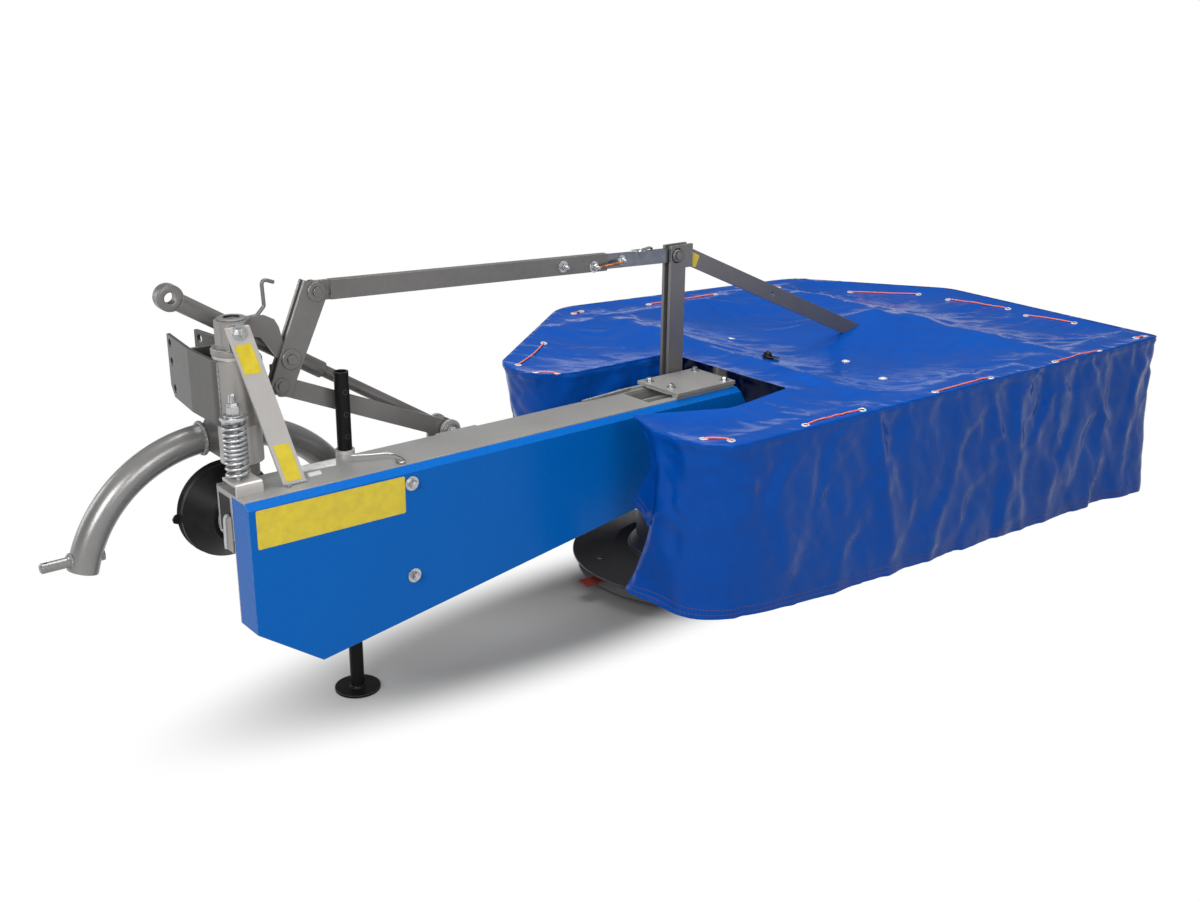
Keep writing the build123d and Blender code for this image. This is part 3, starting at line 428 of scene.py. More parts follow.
for name, low, high, left, right in (
        ("brace_label_upper", 241, 303, -21, 15),
        ("brace_label_lower", 8, 88, -18, 17)):
    corners = [on_brace(*corner) for corner in ((low, left), (low, right), (high, right), (high, left))]
    label(name, corners, brace_out * film_thick, yellow_film, "swing_frame")
foot_weld = run(on_brace(1, -25), on_brace(1, 25))
Shape("brace_welds").sweep(foot_weld, 3, 8, ripple).done(weld_bare, "swing_frame")


# ------------------------------------------------------------------ the beam
# A welded box beam carries the cutting unit. Its deck plate is thin sheet under pale grey paint,
# with an open pocket near the end and a bolted plate that closes the pivot. A white blank label
# and a bent wire clip for the stand lie on it.
deck_paint = painted("deck paint", "grey_paint", (0.36, 0.355, 0.345), (0.27, 0.268, 0.26),
                     (0.55, 0.55, 0.55), 0.34, 0.35)
coat(deck_paint, "beam_deck", "beam", "end_plate", "end_gusset", "pivot_head", "beam_pin_bracket")
coat(silver_paint, "tensioner_bracket")
deck_z, end_plate_z = 579, 594
beam_bolts = Shape("end_plate_bolts")
for x, y in ((1103, -36), (1110, -112), (1268, -32), (1262, -148)):
    beam_bolts.bolt((x, y, end_plate_z), twist=x)
beam_bolts.done(zinc, "swing_frame")
deck_welds = Shape("deck_welds")
for start, end in (
        ((884, -33, 580), (1040, -33, 586)),
        ((1010, -46, 570), (1010, -132, 570)),
        ((1084, -132, 585), (1084, -46, 585)),
        ((30, -140, 580), (80, -90, 580)),
        ((-74, -34, 580), (-20, -34, 580))):
    deck_welds.sweep(run(start, end), 3.2, 8, ripple)
deck_welds.done(weld_bare, "swing_frame")

clip_bends = [
    (214, -72, 591), (232, -80, 591), (250, -88, 590), (270, -95, 590), (288, -100, 589), (297, -110, 588),
    (302, -128, 586), (301, -146, 584), (296, -156, 583), (286, -156, 583), (283, -146, 583),
    (288, -132, 583)]
wire = bpy.data.curves.new("stand_clip", "CURVE")
wire.dimensions = "3D"
wire.bevel_depth = 0.002
wire.bevel_resolution = 4
bends = wire.splines.new("NURBS")
bends.points.add(len(clip_bends) - 1)
for point, bend in zip(bends.points, clip_bends):
    point.co = (*at(*bend), 1)
bends.order_u = 3
bends.use_endpoint_u = True
wire.materials.append(zinc.material)
stand_clip = placed("stand_clip", wire)
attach(stand_clip, "swing_frame")

white_film = mottled("blank white film", None, 70.0, 5.0,
                     [(0.3, (0.5, 0.5, 0.49)), (0.7, (0.7, 0.7, 0.69))], (0.3, 0.3), Coat_Weight=0.3)
for name, corners in (
        ("deck_label", ((100, -69), (175, -75), (195, -38), (112, -34))),
        ("deck_tag", ((95, -106), (126, -104), (133, -82), (103, -82)))):
    label(name, [(x, y, deck_z) for x, y in corners], (0, 0, 0.5), white_film, "swing_frame")


# ------------------------------------------------------------ belt guard
# One sheet of steel, folded along its top edge and its left end, covers the belt drive. It is the
# bright blue of the machine, glossy, with two bolts through it and one long blank label.
guard_paint = painted("blue paint", "blue_paint", (0.0, 0.110, 0.44), (0.0, 0.104, 0.42),
                      (0.25, 0.3, 0.4), 0.28, 0.0, peel=0.008, rub=0.5, edge=0.0018, shine=0.12)
coat(guard_paint, "belt_guard")
coat(silver_paint, "guard_back_plate")
guard_near = -175.0
guard_bolts = Shape("guard_bolts")
for x, z in ((298, 540), (296, 326)):
    guard_bolts.turn([(0, 0), (16, 0), (16, 1.8), (0, 1.8)], (x, guard_near - 0.2, z), (0, -1, 0), 40)
    guard_bolts.bolt((x, guard_near - 2, z), (0, -1, 0), 17, 4, z)
guard_bolts.done(zinc, "swing_frame")
guard_corners = [(x, guard_near - 0.3, z) for x, z in ((-60, 479), (282, 476), (282, 559), (-60, 562))]
label("guard_label", guard_corners, (0, -film_thick, 0), yellow_film, "swing_frame")


# ------------------------------------------------------- drive input and guard
# The tractor's drive shaft slides on a splined stub inside a black plastic cone. The cone is
# blow-moulded, with rolled rings, a rolled rim and a lug for its chain. Its strap hangs from the
# end of the beam, where a plug closes the box.
black_plastic = mottled("black plastic", "black_plastic", 24.0, 6.0,
                        [(0.35, (0.004, 0.004, 0.0045)), (0.75, (0.012, 0.012, 0.0125))],
                        (0.25, 0.28), Specular_IOR_Level=0.12)
black_plastic.into(Normal=relief(black_plastic, cloud(black_plastic, 1400.0), 0.3, 0.00005))
coat(black_plastic, "pto_guard")
cone_x, cone_z = 2.0, 468.0
rings = Shape("cone_rings")
for y, radius in ((44, 60.2), (66, 75.0), (88, 89.8), (108, 106.2), (119, 106.2)):
    roll = [(radius - 1.5 + 3.2 * out, 3.2 * along) for out, along in circle(10)]
    rings.turn(roll, (cone_x, y, cone_z), (0, 1, 0), 72)
rings.done(black_plastic, "swing_frame")
lug = [(-101, 112, 452), (-116, 112, 458), (-118, 112, 466), (-113, 112, 474), (-102, 112, 478)]
Shape("cone_lug").cut(lug, (0, 5, 0)).done(black_plastic, "swing_frame")
box_opening = [(-74, y, z) for y, z in ((-91.7, 486.3), (-38.3, 486.3), (-38.3, 567.7), (-91.7, 567.7))]
Shape("beam_plug").cut(box_opening, (5, 0, 0)).done(black_plastic, "swing_frame")
strap_side = [(-63, 450), (-62, 462), (-65, 505)]
strap_side += [(-85 + 20 * across, 508 + 20 * up) for across, up in circle(7, 70, 10)]
strap_lip = [(-77.5, y, z) for y, z in strap_side + [(-85, 528)]]
strap_plate = strap_lip + [(-77.5, -95, 528), (-77.5, -95, 450)]
Shape("cone_strap").cut(strap_plate, (2, 0, 0)).done(bracket_paint, "swing_frame")
Shape("cone_strap_edge").sweep(strap_lip, 4.2).done(zinc, "swing_frame")

bright_steel = Finish("bright steel", "bare_steel", Metallic=1.0)
drawn = bright_steel.node("Mapping", {}, {
    "Vector": bright_steel.place, "Scale": (90.0, 90.0, 1400.0)})
steel_lines = bright_steel.node("TexNoise", {}, {"Vector": drawn, "Scale": 1.0, "Detail": 4.0})
steel_stain = cloud(bright_steel, 30.0, 5.0)
bright_steel.into(
    Base_Color=blend(bright_steel, steel_stain, (0.42, 0.42, 0.43), (0.22, 0.21, 0.2)),
    Roughness=steel_lines * 0.25 + 0.2,
    Normal=relief(bright_steel, steel_lines, 0.3, 0.0001))
coat(bright_steel, "pto_input_shaft")
coat(silver_paint, "input_housing")
splines = Shape("input_splines")
for across, up in circle(6)[:6]:
    out = Vector((across, 0, up))
    side = Vector((-up, 0, across)) * 4
    heart = Vector((cone_x, 50, cone_z)) + out * 17.2
    crest = out * 0.15
    splines.cut([heart - side, heart + side, heart + side + crest, heart - side + crest], (0, 54, 0))
splines.done(bright_steel, "input_shaft")


# ------------------------------------------------------------- belt tensioner
# A threaded rod with a coil spring keeps the belts tight. The spring is zinc-plated wire, squeezed
# between a cupped washer at the top and the lug welded to the frame.
rod_x, rod_y = -52.0, -90.0
coil_turns, steps_per_turn, coil_radius = 10.5, 24, 21.5
coil_low, coil_high = 609.0, 727.0
coils = []
for step in range(int(coil_turns * steps_per_turn) + 1):
    share = step / (coil_turns * steps_per_turn)
    angle = step * math.tau / steps_per_turn
    # the coils lie closer at both ends
    rise = share + 0.03575 * math.sin(share * math.tau)
    coils.append((rod_x + coil_radius * math.cos(angle), rod_y + coil_radius * math.sin(angle),
                  coil_low + (coil_high - coil_low) * rise))
coil_spring = Shape("tension_spring").sweep(coils, 3.5, 12).done(zinc, "swing_frame")
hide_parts("tensioner_spring")
coat(zinc, "tensioner_rod")
cup_top, nut_top = 737.5, 765
nuts = Shape("tension_nuts")
nuts.turn([(8, 731), (26, 731), (27.5, 733), (26, 736.5), (15, cup_top), (8, cup_top)],
          (rod_x, rod_y, 0), turns=48)
nuts.bolt((rod_x, rod_y, cup_top), across=21, twist=0.2)
nuts.turn([(11.8, 753), (11.8, 763), (10.4, nut_top), (7, nut_top)], (rod_x, rod_y, 0), turns=6, twist=0.9)
threads = [(7.1 + 0.7 * (ridge % 2), nut_top + ridge * 0.9) for ridge in range(17)]
nuts.turn([(7.1, nut_top), *threads, (0, 781)], (rod_x, rod_y, 0), turns=20)
nuts.done(zinc, "swing_frame")


# --------------------------------------------------------------- parking stand
# The stand is a black painted tube on a round foot, held by its sleeve and a pin at the height
# that levels the machine. The paint is worn to dark steel round its holes.
black_paint = painted("black paint", "black_paint", (0.005, 0.005, 0.0055), (0.009, 0.009, 0.009),
                      (0.2, 0.2, 0.2), 0.30, 0.0, peel=0.02, shine=0.1)
dark_steel = painted("dark disc paint", "disc_steel", (0.044, 0.044, 0.048), (0.058, 0.057, 0.058),
                     (0.22, 0.22, 0.23), 0.30, 0.3, peel=0.05, rub=1.4)
coat(black_paint, "parking_stand")
coat(silver_paint, "stand_sleeve")
stand_x, stand_y, stand_skin = 231, -14, 16.05


def on_tube(shape, height, inner, outer, around=24):
    """A ring that lies on the stand's round side, its width from inner to outer radius."""
    first = len(shape.points)
    for radius in (inner, outer):
        for across, up in circle(around)[:-1]:
            sideways = radius * across
            near = stand_y - math.sqrt(stand_skin ** 2 - sideways ** 2)
            shape.points.append(Vector((stand_x + sideways, near, height + radius * up)))
    shape.skin(first, 2, around)


# the tube is not cut: a black disc at each hole is painted shade for the dark inside it, and the ring of
# dark steel round it is the worn paint
hole_shades, hole_edges = Shape("stand_hole_shades"), Shape("stand_hole_edges")
hole_radius, edge_radius = 5.0, 5.9
for height in (250, 300, 350, 400, 450, 620, 670, 720):
    on_tube(hole_shades, height, 0.1, hole_radius)
    on_tube(hole_edges, height, hole_radius, edge_radius)
hole_shades.done(black_plastic, "stand")
hole_edges.done(dark_steel, "stand")
foot_weld = [(16, 6), (20, 6), (19.4, 8), (17.6, 10.5), (16, 11)]
Shape("stand_weld").turn(foot_weld, (stand_x, stand_y, 0), turns=48).done(black_paint, "stand")


# ---------------------------------------------------------- lever and linkage
# Two flat plates make the folding lever, pinned between the bracket on the cap, the flat bar down
# to the beam and the upper link, with broad plain washers welded over each pin. The stay beside it
# has an eye that hooks on the tractor, and lies on a rubber rest until then.
arm_paint = painted("brown grey paint", "grey_paint", (0.19, 0.183, 0.178), (0.13, 0.125, 0.122),
                    (0.4, 0.39, 0.38), 0.36, 0.45, peel=0.025)
coat(arm_paint, "lever", "lower_bar", "lever_bracket", "latch_rod", "stay_rod", "stay_tube")
lever_near, lever_far = 0.0, 24.0
link_pin_x, link_pin_z = 191.5, 940.0
lever_pins = (
    # x, z, washer radius, pin radius
    (link_pin_x, link_pin_z, 21, 11),
    (124.4, 804.4, 22, 12),
    (99.0, 750.4, 17, 9),
)
pins = Shape("lever_pins")
for x, z, washer, pin in lever_pins:
    for y, out in ((lever_near, -1), (lever_far, 1)):
        pins.turn([(0, 0), (washer, 0), (washer, 3), (washer - 1.5, 4.2), (pin, 4.2), (pin, 3.2), (0, 3.2)],
                  (x, y, z), (0, out, 0), 48)
pins.done(arm_paint, "swing_frame")
Shape("beam_pin_nuts").bolt((513, -6, 571), (0, -1, 0), 19, 6).done(zinc, "swing_frame")
rubber = mottled("black rubber", "black_rubber", 90.0, 5.0,
                 [(0.3, (0.012, 0.012, 0.012)), (0.8, (0.035, 0.034, 0.033))], (0.3, 0.5), (0.4, 0.0003))
coat(rubber, "stay_rest")
eye_centre, eye_along = Vector((-96, 75, 952)), Vector((0.067217, 0.997738, 0))
eye_rims = Shape("stay_eye_rims")
for out in (-1, 1):
    eye_rims.turn([(12.2, 12.8), (14.5, 13.6), (24.5, 13.6), (27.2, 12.0), (27.7, 8), (27.2, 7.6)],
                  eye_centre, eye_along * out, 56)
eye_rims.done(arm_paint, "stay")


# ------------------------------------------------------------------ upper link
# The upper link is a rectangular tube with a galvanised bar sliding in it. Three bolts, a spring
# clip and a thin coppered rod set how far the bar may travel.
coat(arm_paint, "upper_link_tube")
galvanised = zinc_coat("galvanised bar", (0.24, 0.26, 0.30), 0.30)
coat(galvanised, "upper_link_bar")
link_slope, link_up = Vector((0.999315, 0, -0.036994)), Vector((0.036994, 0, 0.999315))


def on_link(x, off, y=2.0):
    """A point beside the upper link: its x, and how far above its middle line it is."""
    along = (x - link_pin_x) / link_slope.x
    return Vector((link_pin_x, y, link_pin_z)) + link_slope * along + link_up * off


stops = Shape("upper_link_stops")
for x, off in ((849, 0), (945, -8)):
    stops.bolt(on_link(x, off), (0, -1, 0), 15, 12, x)
stops.bolt(on_link(1036, 1.5, 5), (0, -1, 0), 13, 10)
stops.done(zinc, "upper_link")
clip = Shape("inner_bar_clip")
clip.sweep([on_link(1085, 17.5, -6), on_link(1090, 22, -6), on_link(1100, 23.5, 0), on_link(1120, 23, 10),
            on_link(1140, 23.5, 18), on_link(1150, 20, 20)], 3.2, 10)
clip.cut([on_link(x, 18, y) for x, y in ((1082, 0), (1112, 0), (1112, 24), (1082, 24))], link_up * 3)
clip.done(zinc, "upper_link_slider")
copper = mottled("coppered rod", None, 120.0, 5.0, [(0.3, (0.25, 0.09, 0.035)), (0.7, (0.62, 0.30, 0.12))],
                 (0.4, 0.2), (0.3, 0.0001), Metallic=0.9)
rod_path = [on_link(x, off, -10) for x, off in ((952, -9), (990, -6), (1030, -2))]
Shape("link_rod").sweep(rod_path, 3.4, 12).done(copper, "upper_link")


# ------------------------------------------------------------- mast and brace
# Two plates stand up from the gear housing and carry the upper link's pin in a turned boss. A flat
# bar runs down from the head to a post; a blank yellow label is stuck on its top end.
coat(arm_paint, "mast", "mast_brace", "brace_post")
boss_profile = [
    (0, 3.5), (8, 3.5), (9, 2.2), (10, 2.2), (11, 5), (14.5, 5), (15.5, 4), (16, 0), (20, 0), (20, -1)]
boss = Shape("mast_boss")
for y, out in ((-4, -1), (28, 1)):
    boss.turn(boss_profile, (1218, y, 902), (0, out, 0), 48)
boss.done(arm_paint, "drum_unit")
diagonal, diagonal_up = Vector((1, 0, -0.432)).normalized(), Vector((0.432, 0, 1)).normalized()
diagonal_near = (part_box("mast_brace")[0].y - column_axis.y) * 1000


def on_diagonal(along, off):
    """A point on the diagonal bar's near face, measured along it and above its middle line."""
    return Vector((1253, diagonal_near - 0.2, 899.5)) + diagonal * along + diagonal_up * off


label("mast_label", [on_diagonal(*corner) for corner in ((6, -20), (50, -20), (50, 14), (6, 14))],
      (0, -film_thick, 0), yellow_film, "drum_unit")


# ------------------------------------------------------- drums, discs, knives
# Each drum is rolled sheet on a dished steel disc that carries three swinging knives, over a free
# turning skid. The discs are black and scuffed by the crop, the knives dipped in red paint.
coat(dark_steel, "knife_disc_left", "knife_disc_right", "skid_left", "skid_right",
     "spindle_left", "spindle_right")
# the drums' blue is darkened to a near-black navy as painted shade: it stands for the deep shade they lie
# in under the cover
shade_dark_drum_paint = painted("drum paint darkened as painted shade", "blue_paint", (0.003, 0.010, 0.035), (0.006, 0.008, 0.014),
                     (0.18, 0.18, 0.19), 0.42, 0.0, peel=0.05, shine=0.15)
coat(shade_dark_drum_paint, "drum_left", "drum_right")
coat(silver_paint, "gear_housing", "tilt_journal")
knife_paint = painted("red knife paint", "red_paint", (0.20, 0.022, 0.015), (0.12, 0.015, 0.012),
                      (0.3, 0.28, 0.27), 0.35, 0.1, rub=1.6)
coat(knife_paint, "knives_left", "knives_right")
bolt_circle, bolt_seat = 262, 71.5
disc_bolts = (
    # body, x of the drum, angle of the first bolt
    ("rotor_left", 1288.0, 163.5),
    ("rotor_right", 2113.0, 43.5),
)
for body, x, first_angle in disc_bolts:
    heads = Shape("disc_bolts_" + body)
    for across, along in circle(3, start=first_angle)[:3]:
        spot = (x + bolt_circle * across, bolt_circle * along, bolt_seat)
        heads.turn([(14, -3), (13, 0), (11, 0.8), (11, -0.5), (0, -0.5)], spot)
        heads.bolt(spot)
    heads.turn([(141, 100), (144, 100), (150, 96), (160, 92), (160, 88), (141, 88)], (x, 0, 0), turns=72)
    heads.turn([(140.5, 330), (143.5, 331), (144.5, 336), (143.5, 341), (140.5, 342)], (x, 0, 0), turns=72)
    heads.done(dark_steel, body)


# ------------------------------------------------------------------- the cover
# The guard over the drums is one tarpaulin of PVC-coated cloth, glossy blue, stretched over a pipe
# frame. Its skirts hang to shin height in soft folds, with a double-stitched hem, and it is laced
# to the pipes with orange cord through pairs of white eyelets along the rim.
coat(silver_paint, "cover_rail_rear", "cover_rail_front", "cover_bearer_left", "cover_bearer_right")
cover_top_z = 609.0
# rim of the cloth and the point of its hem below: x and y of each, and the height of the hem
cover_stations = (
    # rim x, rim y, hem x, hem y, hem z, corner radius
    (845, -262, 843, -268, 391, 10),
    (815, -350, 838, -335, 338, 8),
    (811, -368, 806, -250, 162, 8),
    (812, -490, 868, -470, 166, 70),
    (872, -575, 985, -560, 166, 60),
    (2572, -626, 2590, -628, 130, 16),
    (2640, 160, 2640, 160, 150, 30),
    (2335, 600, 2335, 600, 150, 40),
    (1398, 725, 1398, 725, 150, 50),
    (858, 290, 965, 300, 170, 40),
    (868, 150, 908, 162, 424, 30),
    (960, 104, 965, 114, 430, 30),
    (1296, 97, 1290, 112, 430, 20),
)
slot_edge = ((1300, -330), (1123, -358), (1064, -362))


def length(line):
    """The length of a polyline."""
    return sum((end - start).length for start, end in zip(line, line[1:]))


def resample(fine, count):
    """count + 1 points evenly spaced along a polyline."""
    lengths = [0.0]
    for start, end in zip(fine, fine[1:]):
        lengths.append(lengths[-1] + (end - start).length)
    even, index = [], 0
    for step in range(count + 1):
        wanted = lengths[-1] * step / count
        while index < len(fine) - 2 and lengths[index + 1] < wanted:
            index += 1
        span = lengths[index + 1] - lengths[index]
        even.append(fine[index].lerp(fine[index + 1], (wanted - lengths[index]) / span if span else 0))
    return even


def rounded_run(points, spacing):
    """Points evenly spaced along straight runs with rounded corners: each is (vector, radius)."""
    fine = [points[0][0]]
    for index in range(1, len(points) - 1):
        corner, radius = points[index]
        before = points[index - 1][0] - corner
        after = points[index + 1][0] - corner
        reach = min(radius * 1.4, before.length * 0.45, after.length * 0.45)
        first, last = corner + before.normalized() * reach, corner + after.normalized() * reach
        for step in range(9):
            share = step / 8
            fine.append(first * (1 - share) ** 2 + corner * 2 * share * (1 - share) + last * share ** 2)
    fine.append(points[-1][0])
    return resample(fine, round(length(fine) / spacing))


grid = 11.0
rim_corners = [Vector((rim_x, rim_y, cover_top_z)) for rim_x, rim_y, *_ in cover_stations]
hem_corners = [Vector(station[2:5]) for station in cover_stations]
corner_radii = [station[5] for station in cover_stations]
rim_line = rounded_run(list(zip(rim_corners, corner_radii)), grid)
hem_line = rounded_run(list(zip(hem_corners, corner_radii)), grid)


def share_at(corner, line):
    """How far along a line its point nearest to a corner is, from 0 to 1."""
    nearest = min(range(len(line)), key=lambda index: (line[index] - corner).length)
    return nearest / (len(line) - 1)


knots = [(share_at(rim, rim_line), share_at(hem, hem_line)) for rim, hem in zip(rim_corners, hem_corners)]
knots[0], knots[-1] = (0.0, 0.0), (1.0, 1.0)


def hem_below(share):
    """The hem's point under a share of the rim's length."""
    for (rim_a, hem_a), (rim_b, hem_b) in zip(knots, knots[1:]):
        if share <= rim_b:
            place = hem_a + (hem_b - hem_a) * (share - rim_a) / max(rim_b - rim_a, 1e-9)
            break
    spot = place * (len(hem_line) - 1)
    low = min(int(spot), len(hem_line) - 2)
    return hem_line[low].lerp(hem_line[low + 1], spot - low)


slot_corners = [rim_line[-1], *[Vector((x, y, cover_top_z)) for x, y in slot_edge], rim_line[0]]
slot_line = resample(slot_corners, round(length(slot_corners) / grid))
outline = rim_line + slot_line[1:-1]

# a fixed start, so that the creases come out the same each time
noise.seed_set(1)


def flat_noise(x, y, size, layer):
    """Soft bumps about as wide as size, from about -1 to 1; each layer has others."""
    return noise.noise(Vector((x / size, y / size, layer)))


def facets(x, y, size, layer):
    """Flattish panels that tilt against each other along soft creases, from about -1 to 1."""
    spot = Vector((x / size, y / size, layer))
    gaps, cells = noise.voronoi(spot)
    total = weight = 0.0
    for gap, cell in zip(gaps, cells):
        share = math.exp(-18 * (gap - gaps[0]))
        total += share * (3.2 * (spot - cell).dot(noise.noise_vector(cell * 5.3)) + noise.noise(cell * 3.1))
        weight += share
    return total / weight


rail_lines = (-542.0, 540.0)
bearer_lines = (1440.0, 2180.0)
post_low, post_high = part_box("brace_post")
post_x = ((post_low.x + post_high.x) / 2 - column_axis.x) * 1000
post_y = ((post_low.y + post_high.y) / 2 - column_axis.y) * 1000


def top_height(x, y, edge):
    """How far the stretched top sags between the pipes, with slack creases; edge is the gap to the rim."""
    propped = 30 * math.exp(-math.hypot(x - post_x, y - post_y) / 95)
    ease = min(1.0, edge / 120)
    free = min(1.0, min(abs(y - rail_y) for rail_y in rail_lines) / 70)
    sag = -8 * ease * free * (0.6 + 0.4 * flat_noise(x, y, 420, 3.1))
    for pipe_x in bearer_lines:
        sag += 7 * ease * free * math.exp(-((x - pipe_x) / 40) ** 2)
    across, along = 0.8 * x + 0.6 * y, 0.8 * y - 0.6 * x
    slack = 8.5 * facets(across, along * 0.6, 230, 4.4)
    slack = slack + 4.2 * facets(x, y, 88, 7.7) + 1.4 * flat_noise(x, y, 40, 1.2)
    puckers = 4.5 * flat_noise(x, y, 26, 5.0) * math.exp(-edge / 28)
    return sag + slack * (0.25 + 0.75 * ease) * (0.3 + 0.7 * free) + puckers + propped


near_folds = (
    # x of the fold at the rim, how far it leans per millimetre of drop, how far out it stands, its width
    (945, 0.10, 16, 90),
    (1110, 0.15, -9, 60),
    (1328, 0.08, 17, 34),
    (1395, 0.10, -8, 50),
    (1560, 0.55, -11, 60),
    (1768, 0.34, 12, 30),
    (1882, 0.10, 13, 26),
    (2040, -0.10, -12, 70),
    (2222, 0.45, 13, 30),
    (2330, 0.10, -8, 50),
    (2470, -0.12, 7, 40),
)


def hanging(walk, below, rim):
    """How far the skirt stands out of its plane, from the run along the rim and the drop below it."""
    ease = min(1.0, below / 110)
    out = 9 * flat_noise(walk, below * 0.35, 330, 2.0) * ease
    high = math.exp(-below / 240)
    out += (6.5 + 6 * high) * facets(walk + 0.25 * below, below * 0.65, 125, 9.0) * min(1.0, below / 60)
    out += (1.6 + 3.2 * high) * facets(walk - 0.5 * below, below * 0.9, 52, 3.0) * min(1.0, below / 40)
    if rim.y < -545:
        for x, lean, depth, width in near_folds:
            away = abs(rim.x - x - lean * below) / width
            out += depth * math.exp(-away ** 1.3) * ease * max(0.3, 1 - below / 560)
    else:
        out += 12 * max(0.0, flat_noise(walk + 0.2 * below, below * 0.2, 150, 6.0)) * ease
    puckers = 5 * flat_noise(walk, below * 0.6, 26, 8.0) * math.exp(-below / 34)
    return out + puckers + 6 * math.exp(-((below - 11) / 9) ** 2)


# the top: points of a triangular grid inside the outline, each with its gap to the rim
edge_points = [Vector((point.x, point.y)) for point in outline]
edges = list(zip(edge_points, edge_points[1:] + edge_points[:1]))
grid_x, grid_wide, grid_y, grid_deep = 800, 1860, -640, 1400
inside = []
row_step = grid * 0.866
for row in range(int(grid_deep / row_step)):
    y = grid_y + row * row_step
    for column in range(int(grid_wide / grid)):
        x = grid_x + column * grid + (row % 2) * grid / 2
        crossings = 0
        close = 1e9
        for a, b in edges:
            if (a.y > y) != (b.y > y) and x < a.x + (y - a.y) / (b.y - a.y) * (b.x - a.x):
                crossings += 1
            close = min(close, (a.x - x) ** 2 + (a.y - y) ** 2)
        if crossings % 2 and close > (grid * 0.62) ** 2:
            inside.append((Vector((x, y)), math.sqrt(close)))
ring = [(index, (index + 1) % len(edge_points)) for index in range(len(edge_points))]
flat_points, _, triangles, *_ = delaunay_2d_cdt(
    edge_points + [point for point, _ in inside], ring, [], 1, 0.0001)
cloth_points = []
for index, point in enumerate(flat_points):
    gap = 0.0 if index < len(edge_points) else inside[index - len(edge_points)][1]
    lift = top_height(point.x, point.y, gap) if gap else 0
    cloth_points.append(Vector((point.x, point.y, cover_top_z + lift)))
cloth_faces = [tuple(face) for face in triangles]
# metres above the hem and along the rim at each point, which place the stitching; the top has none
hem_gap = [1.0] * len(cloth_points)
seam_run = [0.0] * len(cloth_points)

# the skirts: columns of points that hang from the rim. The short flap beside the beam ends at the
# third station, and it and the start of the long skirt belly out to the rear
rows = 42
columns = len(rim_line)
rim_length = length(rim_line)
flap_end = knots[2][0] * rim_length
fall = []
for column, rim in enumerate(rim_line):
    share = column / (columns - 1)
    hem = hem_below(share)
    walk = share * rim_length
    ahead = rim_line[min(column + 1, columns - 1)] - rim_line[max(column - 1, 0)]
    outward = Vector((ahead.y, -ahead.x, 0)).normalized()
    belly = math.exp(-((walk - flap_end) / 75) ** 2) if walk > flap_end else 1.0
    line = [column]
    for row in range(1, rows + 1):
        drop = (row / rows) ** 1.25
        below = drop * (rim - hem).length
        spot = rim.lerp(hem, drop) + outward * (hanging(walk, below, rim) - 4)
        spot.y -= 58 * belly * math.sin(math.pi * drop ** 0.75)
        line.append(len(cloth_points))
        cloth_points.append(spot)
        hem_gap.append((1 - drop) * (rim - hem).length / 1000)
        seam_run.append(walk / 1000)
    fall.append(line)
for left, right in zip(fall, fall[1:]):
    for row in range(rows):
        cloth_faces.append((left[row], left[row + 1], right[row + 1], right[row]))

cloth_mesh = bpy.data.meshes.new("cover_cloth")
cloth_mesh.from_pydata([at(*point) for point in cloth_points], [], cloth_faces)
for name, values in (("hem_gap", hem_gap), ("seam_run", seam_run)):
    layer = cloth_mesh.attributes.new(name, "FLOAT", "POINT")
    layer.data.foreach_set("value", values)
cover = placed("cover_cloth", cloth_mesh)
face_outward(cloth_mesh)
cloth_mesh.shade_smooth()

tarpaulin = Finish("blue tarpaulin", "blue_cloth", Specular_IOR_Level=0.10)
gap_here = tarpaulin.node("Attribute", {"attribute_name": "hem_gap"}, output="Fac")
run_here = tarpaulin.node("Attribute", {"attribute_name": "seam_run"}, output="Fac")
tint = cloud(tarpaulin, 3.5, 5.0)
scuff = cloud(tarpaulin, 38.0, 8.0, Roughness=0.7)
crease = cloud(tarpaulin, 9.0, 4.0, Distortion=1.6)
ridges = tarpaulin.node("TexNoise", {"noise_type": "RIDGED_MULTIFRACTAL"}, {
    "Vector": tarpaulin.place, "Scale": 5.5, "Detail": 2.5, "Offset": 0.9, "Distortion": 0.7})
weave = tarpaulin.node("TexVoronoi", {}, {"Vector": tarpaulin.place, "Scale": 700.0})
# two rows of stitching along the hem, 12 and 26 mm above its edge
stitches_per_metre, thread_half = 170, 0.0009
dash = run_here.maths("GREATER_THAN", run_here.maths("FRACT", run_here * stitches_per_metre), 0.35)
lower_line = gap_here.maths("COMPARE", gap_here, 0.012, thread_half)
upper_line = gap_here.maths("COMPARE", gap_here, 0.026, thread_half)
stitch = (lower_line + upper_line) * dash
hem_step = gap_here.maths("LESS_THAN", gap_here, 0.032)
blue = blend(tarpaulin, tint * 1.4 - 0.2, (0.0, 0.052, 0.30), (0.0, 0.068, 0.37))
dusty = blend(tarpaulin, (scuff ** 4) * 0.16, blue, (0.10, 0.16, 0.30))
relief_height = ridges * 3.5 + crease * 2.2 + scuff * 0.25 + weave * 0.03 + hem_step * 0.9 + stitch * 0.6
tarpaulin.into(
    Base_Color=blend(tarpaulin, stitch, dusty, (0.12, 0.06, 0.07)),
    Roughness=scuff * 0.16 + 0.10 + stitch * 0.4,
    Normal=relief(tarpaulin, relief_height, 0.6, 0.001))
cloth_mesh.materials.append(tarpaulin.material)
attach(cover, "drum_unit")
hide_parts("cover_top", "skirt_front_left", "skirt_left_rear", "skirt_rear", "skirt_right",
            "skirt_front_right", "skirt_front")
